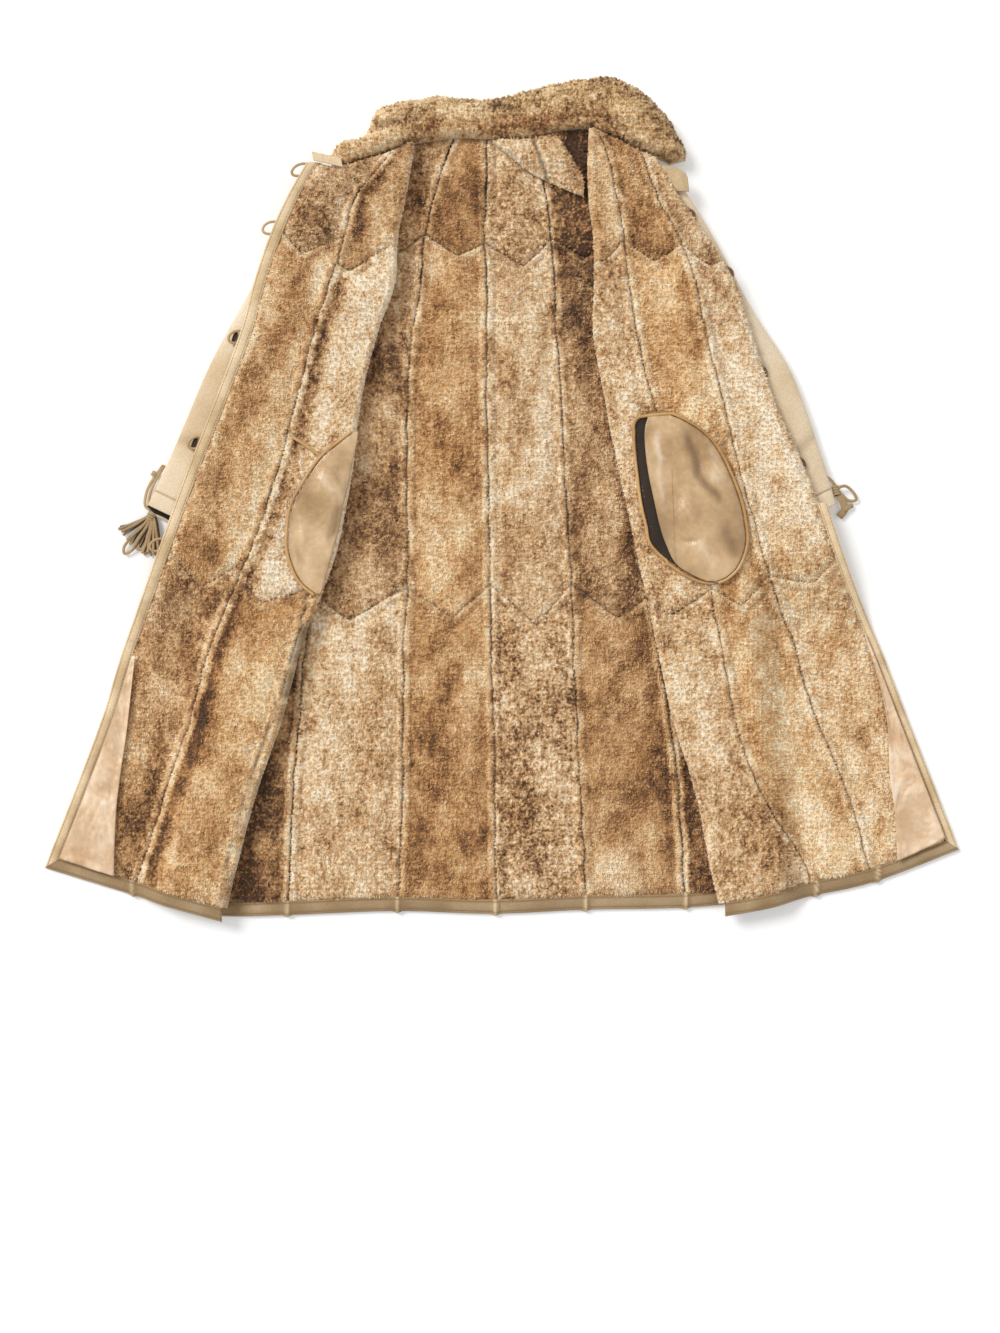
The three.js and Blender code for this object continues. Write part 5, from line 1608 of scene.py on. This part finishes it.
facings = {}
for side, rows in FACINGS.items():
    name, inwards = FRONT_EDGE[side]
    inset = inwards * (EDGE_BINDING[side] + BINDING_CLEARANCE + 2)
    v, u = shares(110, 26)
    foot = lerp(line(name, 1080.0) + inset, rows[-1][1], u[:1])
    foot = read_table(HEMS[side], 1, foot) - HEM_BINDING - BINDING_CLEARANCE - 1
    down = lerp(rows[0][0], foot, v)
    x = lerp(line(name, down) + inset, read_table(rows, 1, down), u)
    base = floor_of(side, x, down) + PELT + OVER_WOOL
    free = smooth(0.75, 1, u) * smooth(0, 0.15, v)
    rise = 0.8 * crumple(x, down, 50, 30) + 1.7 * crumple(down, x, 47, 26)
    rise = np.clip(rise, -0.6, 3.4) * smooth(0, 0.15, u)
    top = np.stack([x, down, base + LEATHER + FACING_LIFT + rise + 2.2 * free], axis=-1)
    bottom = top - np.array([0, 0, LEATHER])
    # painted shade in the low places of the wrinkles, painted highlights on the high ones
    traits = {"painted_valley_shade": 0.34 * (1 - smooth(-0.6, 0.8, rise)),
              "painted_ridge_highlight": 0.6 * smooth(1.0, 2.4, rise)}
    piece = closed_sheet(f"facing_leather_{side}", top, bottom, [facing_leather], traits)
    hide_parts(f"facing_{side}")
    facings[side] = (piece, top)

# %% Pocket bags
MOUTH = [
    # down, across: the edge of the right bag's front layer
    [416, 216], [437, 210], [470, 211], [506, 216], [544, 224], [579, 232], [606, 241],
    [637, 258], [654, 286], [660, 301],
]
POCKET_FOLDS = {
    # from across, down, to across, down, half width, depth
    "left": [(-232, 545, -252, 600, 6, -3.0), (-262, 500, -244, 535, 9, 2.0),
             (-292, 540, -290, 620, 7, 1.8), (-296, 600, -290, 640, 5, -2.0),
             (-240, 490, -228, 540, 9, -1.8), (-250, 630, -236, 590, 6, 2.0)],
    "right": [(272, 440, 290, 510, 6, -4.0), (290, 505, 322, 545, 6, -4.0),
              (308, 440, 318, 520, 12, 2.2), (262, 598, 290, 600, 4, -2.2),
              (262, 545, 286, 580, 9, 1.8), (325, 575, 342, 625, 9, -2.5),
              (228, 440, 236, 560, 5, 2.6), (290, 600, 312, 650, 9, 1.8)],
}
REACH = 18.0  # a bag bridges the dips of the wool on both sides of each point
BAG_ROWS, BAG_COLUMNS = 92, 42


def above_wool(side, x, down):
    """The height at which leather lies on the wool of a front."""
    near = [floor_of(side, x + shift, down) for shift in (-REACH, 0, REACH)]
    near.append(floor_of(side, x, down - REACH))
    return np.maximum.reduce(near) + PELT + OVER_WOOL


def bag_layer(side, from_rows, from_column, low, high, plump):
    """One layer of a bag, from the edge in from_rows to its outer edge."""
    rows = POCKETS[side]
    v, u = shares(BAG_ROWS, BAG_COLUMNS)
    down = lerp(rows[0][0], rows[-1][0], v)
    x = lerp(read_table(from_rows, from_column, down), read_table(rows, 2, down), u)
    full = np.sin(math.pi * np.clip(u, 0, 1)) ** 0.6 * np.sin(math.pi * v) ** 0.6
    folds = crease_height(POCKET_FOLDS[side], x, down, (-8, 14), 2, 9)
    wrinkles = crumple(x, down, 60, 26, 0.8)
    rise = full * (plump + 1.4 * folds + wrinkles)
    base = above_wool(side, x, down)
    top = np.stack([x, down, base + high + np.maximum(rise, -0.2)], axis=-1)
    bottom = np.stack([x, down, base + low], axis=-1)
    edge = np.minimum(np.minimum(u, 1 - u) * 8, 1)
    # painted shade in the valleys of folds and wrinkles and along the edges, painted highlights
    # on folds and wrinkles
    traits = {"painted_valley_shade": np.clip(-0.17 * folds + 0.16 * (0.3 - wrinkles) + 0.25 * (1 - edge),
                                0, 0.85),
              "painted_ridge_highlight": np.clip(0.16 * folds + 0.3 * (wrinkles - 0.7), 0, 0.5) * edge}
    return top, bottom, traits


bags = {}
top, bottom, traits = bag_layer("left", POCKETS["left"], 1, 0.0, 2.4, 2.6)
bag = closed_sheet("pocket_leather_left", top, bottom, [pocket_leather], traits)
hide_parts("pocket_bag_left")
bags["left"] = (bag, top)

top, bottom, _ = bag_layer("right", POCKETS["right"], 1, 0.0, 1.0, -0.4)
# a dark sheet under the front layer is painted shade inside the open pocket
inside = closed_sheet("pocket_inside_shade_right", top, bottom, [painted_shade_leather])
top, bottom, traits = bag_layer("right", MOUTH, 1, 1.4, 3.6, 3.4)
lip = bell(np.arange(BAG_COLUMNS) - 1.5, 2.2)[None, :] * 1.6
top[..., 2] += lip * np.sin(math.pi * np.linspace(0, 1, BAG_ROWS))[:, None] ** 0.5
bag = closed_sheet("pocket_leather_right", top, bottom, [pocket_leather], traits)
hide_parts("pocket_bag_right")
bags["right"] = (bag, top)
seam_column = top[5:-8, 10].copy()
seam_column[:, 0] = np.interp(seam_column[:, 1], [425, 520, 630], [248, 250, 254])
seam_column[:, 2] += 0.6


# %% Piping and the tapes that hold the bags
RING_STEP = 2.2


def tube(points, radius, sides=8, flat=1.0, twist=0.0):
    """A round or flattened tube along a smooth line of points, as a grid of rings."""
    points = np.asarray(points, float)
    run = distances(points)
    count = max(int(run[-1] / RING_STEP), 6)
    at = np.linspace(0, run[-1], count)
    keyed = np.column_stack([run, points])
    place = np.stack([read_table(keyed, k, at) for k in (1, 2, 3)], axis=1)
    way = unit(np.gradient(place, axis=0))
    aside = unit(np.cross(way, [0, 0, 1.0]))
    up = np.cross(aside, way)
    lean = twist * np.linspace(0, 1, count)[:, None]
    cos, sin = np.cos(lean), np.sin(lean)
    aside, up = aside * cos + up * sin, up * cos - aside * sin
    turn = np.linspace(0, 2 * math.pi, sides, endpoint=False)[None, :, None]
    return place[:, None] + radius * (np.cos(turn) * aside[:, None]
                                      + flat * np.sin(turn) * up[:, None])


def joined_tubes(name, rings, materials, second=()):
    """One mesh from several tubes, each closed by a flat face at both ends. Those whose
    numbers are in second take the second material."""
    points, faces, looks, start = [], [], [], 0
    for number, ring in enumerate(rings):
        rows, sides = ring.shape[:2]
        at = np.arange(rows * sides).reshape(rows, sides) + start
        following = np.roll(at, -1, axis=1)
        quads = np.stack([at[:-1], following[:-1], following[1:], at[1:]], -1).reshape(-1, 4)
        points.append(ring.reshape(-1, 3))
        faces += [tuple(f) for f in quads] + [tuple(at[0][::-1]), tuple(at[-1])]
        looks += [1 if number in second else 0] * (len(quads) + 2)
        start += rows * sides
    mesh = bpy.data.meshes.new(name)
    mesh.from_pydata([tuple(p) for p in metres(np.concatenate(points))],
                     [], [tuple(int(i) for i in f) for f in faces])
    mesh.update()
    mesh.polygons.foreach_set("use_smooth", np.ones(len(mesh.polygons), dtype=bool))
    for material in materials:
        mesh.materials.append(material)
    mesh.polygons.foreach_set("material_index", looks)
    piece = bpy.data.objects.new(name, mesh)
    scene.collection.objects.link(piece)
    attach(piece, "root")
    if volume_of(piece) < 0:
        mesh.flip_normals()
    return piece


def outline(side, column, shift, start, end, count):
    """A line beside a pocket bag's edge, shifted square to it."""
    rows = POCKETS[side]
    down = np.linspace(start, end, count)
    x = read_table(rows, column, down)
    slope = np.gradient(x, down)
    run = np.hypot(1, slope)
    return x + shift / run, down - shift * slope / run


PIPING = 4.6  # thickness
PIPING_FOOT = [(312, 663), (290, 660), (266, 649), (242, 632)]  # below the right bag
STAYS = {"left": [(-306, 448), (-262, 478)], "right": [(332, 442), (316, 462)]}
pipings = {}
for side in ("left", "right"):
    rows = POCKETS[side]
    sign = -1 if side == "left" else 1
    x, down = outline(side, 1 if side == "left" else 2, sign * 3.2, rows[0][0] + 2,
                      rows[-1][0] - 1, 60)
    route = np.stack([x, down, above_wool(side, x, down) + 0.2 + PIPING / 2], axis=1)
    if side == "right":  # this one goes all the way round
        back_x, back_down = outline("right", 1, -3.0, rows[0][0] + 6, 628, 50)
        back = np.stack([back_x, back_down,
                         above_wool("right", back_x, back_down) + PIPING / 2], axis=1)
        foot = np.array([[*point, back[-1, 2]] for point in PIPING_FOOT])
        route = np.concatenate([foot, back[::-1], route])
    (sx, sd), (ex, ed) = STAYS[side]
    stay = np.array([[sx, sd, 0], [lerp(sx, ex, 0.5), lerp(sd, ed, 0.5) - 1, 0], [ex, ed, 0]],
                    float)
    stay[:, 2] = above_wool(side, stay[:, 0], stay[:, 1]) + 1.8
    piece = joined_tubes(f"piping_{side}", [tube(route, PIPING / 2),
                                            tube(stay, 2.3, flat=0.6)], [piping_leather])
    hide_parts(f"pocket_piping_{side}")
    pipings[side] = piece
pocket_stitches = sew("pocket_stitches", [seam_column], pitch=3.8, length=2.4, thick=1.3)

# %% [markdown]
# ## Loops, laces and the tassel
# The left edge carries five button loops of thin leather cord, whose buttons are under
# the other front. A lace runs round the left cuff and ends in a tassel of cut leather
# strips below a wrapped knot. All of these are tubes along smooth lines of points.

# %% Button loops
LOOP_DOWN = [56, 141, 301, 456, 606]
LOOP = {"reach": 13.0, "half": 9.0, "radius": 2.0, "off": 1.2, "tucked": 7.0}
LOOP_SHADE_SHEET = {"half_long": 9.5, "half_wide": 3.4, "out": 6.0, "thick": 1.0}
for number, down in enumerate(LOOP_DOWN, 1):
    edge = float(line("edgeL", down))
    slope = float(line("edgeL", down + 5) - line("edgeL", down - 5)) / 10
    level = float(floor_of("left", np.array(edge), np.array(float(down)))) + 2.4
    turn = np.linspace(0, math.pi, 9)
    along = -LOOP["half"] * np.cos(turn)
    reach = LOOP["off"] + LOOP["reach"] * np.sin(turn) ** 0.8
    arc = np.stack([edge + slope * along - reach, down + along,
                    level + 0.9 * np.sin(turn)], axis=1)
    ends = arc[[0, -1]] + [[LOOP["tucked"], 1.5, 0], [LOOP["tucked"], -1.5, 0]]
    route = np.concatenate([ends[:1], arc, ends[1:]])
    piece = joined_tubes(f"loop_cord_{number}", [tube(route, LOOP["radius"], flat=0.8)],
                         [cord_leather])
    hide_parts(f"button_loop_{number}")
    if number in (3, 4):  # these two stand on edge over a sheet of painted shadow
        turn = np.linspace(0, 2 * math.pi, 20, endpoint=False)[None, :]
        share = np.array([0.05, 0.6, 1.0])[:, None]
        y = down + share * LOOP_SHADE_SHEET["half_long"] * np.sin(turn)
        x = edge - slope * (down - y) - LOOP_SHADE_SHEET["out"] + share * LOOP_SHADE_SHEET["half_wide"] * np.cos(turn)
        shade_sheet = np.stack([x, y, np.full_like(x, level - 1.6)], axis=-1)
        closed_sheet(f"loop_shade_patch_{number}", shade_sheet, shade_sheet - [0, 0, LOOP_SHADE_SHEET["thick"]],
                     [painted_shade_leather], around=True)

# %% Wooden buttons
BUTTON = {"radius": 0.013, "thick": 0.0026, "rim": 0.0032, "step": 0.0012, "sink": 0.0006,
          "hole": 0.0011, "holes_out": 0.0034, "rounding": 0.0004}  # in metres
bpy.ops.object.select_all(action="DESELECT")
bpy.ops.mesh.primitive_cylinder_add(vertices=36, radius=BUTTON["radius"],
                                    depth=BUTTON["thick"])
first = bpy.context.object
first.name = "wooden_button"
bpy.ops.object.mode_set(mode="EDIT")
bpy.ops.mesh.select_all(action="DESELECT")
bpy.ops.mesh.select_mode(type="FACE")
bpy.ops.object.mode_set(mode="OBJECT")
for face in first.data.polygons:  # the face that looks down, away from the coat
    face.select = face.normal.z < -0.9
bpy.ops.object.mode_set(mode="EDIT")
bpy.ops.mesh.inset(thickness=BUTTON["rim"])
bpy.ops.mesh.inset(thickness=BUTTON["step"], depth=-BUTTON["sink"])
bpy.ops.object.mode_set(mode="OBJECT")
for angle in np.radians([45, 135, 225, 315]):  # four holes for the thread
    bpy.ops.object.select_all(action="DESELECT")
    bpy.ops.mesh.primitive_cylinder_add(
        vertices=10, radius=BUTTON["hole"], depth=4 * BUTTON["thick"],
        location=(BUTTON["holes_out"] * math.cos(angle),
                  BUTTON["holes_out"] * math.sin(angle), 0))
    hole = bpy.context.object
    bpy.ops.object.select_all(action="DESELECT")
    bpy.context.view_layer.objects.active = first
    cut = first.modifiers.new("hole", "BOOLEAN")
    cut.object, cut.operation = hole, "DIFFERENCE"
    bpy.ops.object.modifier_apply(modifier="hole")
    bpy.data.objects.remove(hole)
rounding = first.modifiers.new("rounding", "BEVEL")
rounding.width, rounding.segments = BUTTON["rounding"], 2
rounding.limit_method = "ANGLE"
bpy.ops.object.modifier_apply(modifier="rounding")
first.data.materials.append(wood)
places = [[(a + b) / 2 for a, b in zip(*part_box(f"button_{number}"))]
          for number in range(1, 6)]
buttons = [first]
for place in places[1:]:
    buttons.append(bpy.data.objects.new(first.name, first.data.copy()))
    scene.collection.objects.link(buttons[-1])
for number, (piece, place) in enumerate(zip(buttons, places), 1):
    piece.name = f"wooden_button_{number}"
    piece.data.transform(Matrix.Translation(place))
    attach(piece, "root")
    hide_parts(f"button_{number}")
print("buttons at", [tuple(round(c, 3) for c in place) for place in places])

# %% The left cuff's lace and tassel
TASSEL_HEAD = (-514.5, 558.0)
STRANDS = [
    # tip across, tip down, bow sideways, height at the tip
    (-566, 581, 5, 3), (-561, 585, 2, 6), (-559, 590, -2, 3), (-553, 597, 4, 6),
    (-549, 604, -3, 3), (-545, 613, 3, 6), (-538, 612, -2, 3), (-531, 617, 3, 6),
    (-527, 620, -3, 3), (-522, 616, 2, 6), (-518, 621, -2, 3), (-514, 618, 2, 6),
    (-510, 621, -2, 3), (-506, 613, 2, 6),
]
STRAND_LOOPS = [(-557, 617, 6), (-534, 611, 5)]  # far across, far down, half width
LACE = 2.2  # half the width of a leather lace


def wraps(middle, axis, half_wide, half_tall, turns, pitch):
    """A lace wound a few turns round a bundle that runs along axis."""
    ax, ad = np.array(axis, float) / math.hypot(*axis)
    turn = np.linspace(0, 2 * math.pi * turns, 9 * turns)
    along = (turn / (2 * math.pi) - turns / 2) * pitch
    aside = half_wide * np.cos(turn)
    return np.stack([middle[0] + ax * along - ad * aside,
                     middle[1] + ad * along + ax * aside,
                     middle[2] + half_tall * np.sin(turn)], axis=1)


head_x, head_d = TASSEL_HEAD
rings, shadow_strands = [], []
for tip_x, tip_d, bow, height in STRANDS:
    sway = rng.uniform(-1.5, 1.5)
    route = [[lerp(head_x, tip_x, 0.04), lerp(head_d, tip_d, 0.04), 4.6],
             [lerp(head_x, tip_x, 0.3) + bow * 0.7, lerp(head_d, tip_d, 0.3), height + 2.0],
             [lerp(head_x, tip_x, 0.65) + bow * 0.6 + sway, lerp(head_d, tip_d, 0.65),
              height + 0.9],
             [tip_x, tip_d, height - 0.6]]
    rings.append(tube(route, LACE, sides=6, flat=0.45, twist=rng.uniform(-0.5, 0.5)))
    for point in route:  # a darker copy of it, a little aside and lower, is painted shadow
        point[0], point[2] = point[0] + 2.4, point[2] - 1.2
    route[-1][1] -= 3
    shadow_strands.append(len(rings))
    rings.append(tube(route, LACE, sides=6, flat=0.45))
for far_x, far_d, half in STRAND_LOOPS:
    away = np.array([far_x - head_x, far_d - head_d])
    away = away / np.linalg.norm(away)
    aside = np.array([-away[1], away[0]])

    def on_loop(share, wide, z):
        place = np.array([lerp(head_x, far_x, share), lerp(head_d, far_d, share)])
        return [*(place + aside * wide), z]

    rings.append(tube([on_loop(0.05, -1.5, 5), on_loop(0.55, -half * 0.7, 5.2),
                       on_loop(0.88, -half, 4.4), on_loop(1.0, 0, 4.2),
                       on_loop(0.88, half, 4.4), on_loop(0.55, half * 0.7, 5.2),
                       on_loop(0.05, 1.5, 5)], LACE, sides=6, flat=0.5))
for shift in (0.0, 5.5):  # two runs of the lace lie side by side
    rings.append(tube([[head_x - 2 + shift, head_d - 4, 5.4], [-526 + shift, 546, 5.6],
                       [-521 + shift, 520, 6.4], [-499 + shift * 0.4, 487, 7.4]], LACE,
                      sides=6, flat=0.5))
rings.append(tube(wraps((head_x - 3, head_d + 6, 5.0), (-12, 30), 6.2, 3.6, 3, 3.9), 1.8,
                  sides=6, flat=0.6))
rings.append(tube(wraps((-512, 500, 6.4), (14, -22), 4.2, 2.4, 2, 3.8), 1.7, sides=6,
                  flat=0.6))
tassel = joined_tubes("cuff_tassel", rings, [tassel_suede, tassel_shadow], shadow_strands)
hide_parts("cuff_tassel_left")

# %% The left cuff's mouth
CUFF_LINE = np.array([(-521, 546), (-478, 566.5), (-440, 585)])
v, u = shares(24, 6)
x = np.interp(v, [0, 0.5, 1], CUFF_LINE[:, 0])
down = np.interp(v, [0, 0.5, 1], CUFF_LINE[:, 1])
reach = 7.0 * np.sin(math.pi * np.clip(v * 0.9 + 0.1, 0, 1)) + 2.5 * bell(v - 0.12, 0.1)


def beside_cuff(name, away, height, material):
    """A thin sheet that lies a distance away from the cuff's edge."""
    sheet = np.stack([x - 0.43 * away, down + 0.9 * away, height - 2.0 * u], axis=-1)
    closed_sheet(name, sheet, sheet - [0, 0, 1.6], [material])


# a dark sheet in the cuff's mouth is painted shade
beside_cuff("cuff_mouth_shade", lerp(-3.0, reach, u), 9.0, painted_shade_leather)
beside_cuff("cuff_lip", reach * lerp(0.85, 1.3, u) + 1.5 * u, 7.0, sleeve_suede)

# %% The right cuff's lace and strap
RIGHT_LACE = [
    [497, 520, 10], [509, 518, 9], [521, 528, 7], [525, 538, 5], [514, 539, 5],
    [504, 531, 7], [497, 524, 9],
]
RIGHT_STRAP = [[499, 530, 8], [505, 541, 7], [508, 552, 5], [500, 563, 4]]
STRAP_BRANCH = [[507, 553, 6.6], [515, 548, 6], [520, 546, 4.4]]
knot_x, knot_d = RIGHT_LACE[0][0] - 2, RIGHT_LACE[0][1] + 6
rings = [tube(RIGHT_LACE, LACE, sides=6, flat=0.55),
         tube(wraps((knot_x, knot_d - 1, 8), (1, 4), 4.4, 3.4, 4, 3.6), 1.8, sides=6,
              flat=0.6),
         tube([[knot_x - 1, knot_d - 8, 8.6], [knot_x - 9, knot_d - 17, 12],
               [knot_x - 20, knot_d - 24, 16]], LACE, sides=6, flat=0.55),
         tube(RIGHT_STRAP, 5.4, sides=10, flat=0.26),
         tube(STRAP_BRANCH, 3.6, flat=0.3)]
lace_piece = joined_tubes("cuff_lace", rings, [tassel_suede])
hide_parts("cuff_lace_right")

# %% [markdown]
# ## The ends at the neck
# The neck band ends in a stitched suede tab on the upper left corner, and on the other
# side a little of the suede side shows beyond the rolled edge.

# %% Neck band and flap
BAND = {"from": (-277, 38), "to": (-234, 48), "wide": 13.0}
BAND_LIFT = FRONT_OVER_SLEEVE["left"] + PELT - 0.7
v, u = shares(30, 14)
x = lerp(BAND["from"][0], BAND["to"][0], v) + 3 * u
down = lerp(BAND["from"][1], BAND["to"][1], v) - BAND["wide"] * (0.5 - u)
swell = np.interp(u, [0, 0.06, 0.16, 0.24, 0.5, 0.76, 0.84, 0.94, 1],
                  [0.5, 1.2, 1.5, 1.3, 2.0, 1.4, 1.2, 1.5, 0.7])
swell = swell + 0.5 * cloud(x, down, 9, 50) * np.sin(math.pi * u)
swell = swell + 1.4 * bell(v - 0.32, 0.06)
band_top = np.stack([x, down, BAND_LIFT + 1.2 + swell], axis=-1)
band_bottom = np.stack([x, down, np.full_like(x, BAND_LIFT)], axis=-1)
band = closed_sheet("neck_band", band_top, band_bottom, [binding_suede])
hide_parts("neck_band_end")
band_stitches = sew("neck_band_stitches", [band_top[1:-1, 3], band_top[1:-1, 10]],
                    pitch=3.4, length=2.3, thick=0.9)

NECK_FLAP = [[52, 4], [62, 15], [74, 12], [88, 5]]  # down, reach past the edge
v, u = shares(26, 16)
down = lerp(NECK_FLAP[0][0], NECK_FLAP[-1][0], v)
inset = EDGE_BINDING["right"] + 3
x = line("edgeR", down) - inset + (read_table(NECK_FLAP, 1, down) + inset) * u
z = FRONT_OVER_SLEEVE["right"] - 2 * u
fold = 1.8 * bell(u - 0.62 - 0.25 * (v - 0.5), 0.1) * np.sin(math.pi * v)
flap_top = np.stack([x, down, z + 4.4 + fold + 0.6 * cloud(x, down, 8, 51)], axis=-1)
flap_bottom = np.stack([x, down, z + 1.0], axis=-1)
flap = closed_sheet("neck_flap", flap_top, flap_bottom, [under_suede])
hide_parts("neck_flap_right")

# %% [markdown]
# ## The sheets and what they lie on
# Each piece was cut flat from a skin. Below, each piece is passed to cut with its grid and
# what it lies on, and cut does nothing with them.


def cut(piece, grid, held, rests_on, with_pieces=()):
    """Does nothing: the piece, the grid of points of its outer side in millimetres, and the rest
    are not used.
    """


UNDER = {"back": ["studio_floor"], "left": ["skin_left_under_layer", "sleeve_left"],
         "right": ["skin_right_under_layer", "sleeve_right"]}
layer_of = {strip["name"]: strip["layer"] for strip in strips}
for node, piece in panels.items():
    strip_name, top, _ = surfaces[node]
    grown = [locks[strip_name]] if node.endswith("body") else []
    cut(piece, top, "laid", UNDER[layer_of[strip_name]], grown)
for name, (piece, top, _) in sides.items():
    below = ["studio_floor"] if name.startswith("back") else ["skin_back_1_body"]
    cut(piece, top, "laid", below, [wool_sides] if name == "back_side_left" else [])
cut(shoulder, fold_top, "folded", ["skin_back_3_yoke"], [wool_fold])
cut(collar, collar_top, "folded", ["studio_floor"], [wool_collar])
for side, (piece, outer) in sleeves.items():
    cut(piece, np.concatenate([outer, outer[:, :1]], axis=1), "laid", ["studio_floor"])
for side, (piece, top, seam) in bindings.items():
    below = "skin_back_1_skirt" if side == "back" else f"skin_{side}_1_skirt"
    cut(piece, top, "folded", [below], [seam])
for side, (piece, top) in facings.items():
    cut(piece, top, "laid", [f"skin_{'left_1' if side == 'left' else 'right_3'}_skirt"])
for side, (piece, top) in bags.items():
    below = "skin_left_2_body" if side == "left" else "skin_right_1_body"
    more = [inside, pocket_stitches] if side == "right" else []
    cut(piece, top, "laid", [below], [pipings[side], *more])
cut(band, band_top, "folded", ["skin_left_1_yoke"], [band_stitches])
cut(flap, flap_top, "folded", ["skin_right_3_yoke"])

# %% How much there is
added = [piece for piece in scene.objects if piece.type == "MESH" and not
         piece.hide_render and "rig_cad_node" not in piece]
triangles = {piece.name: sum(len(face.vertices) - 2 for face in piece.data.polygons)
             for piece in added}
print("triangles in all:", sum(triangles.values()), "and in the largest:",
      max(triangles.values()))
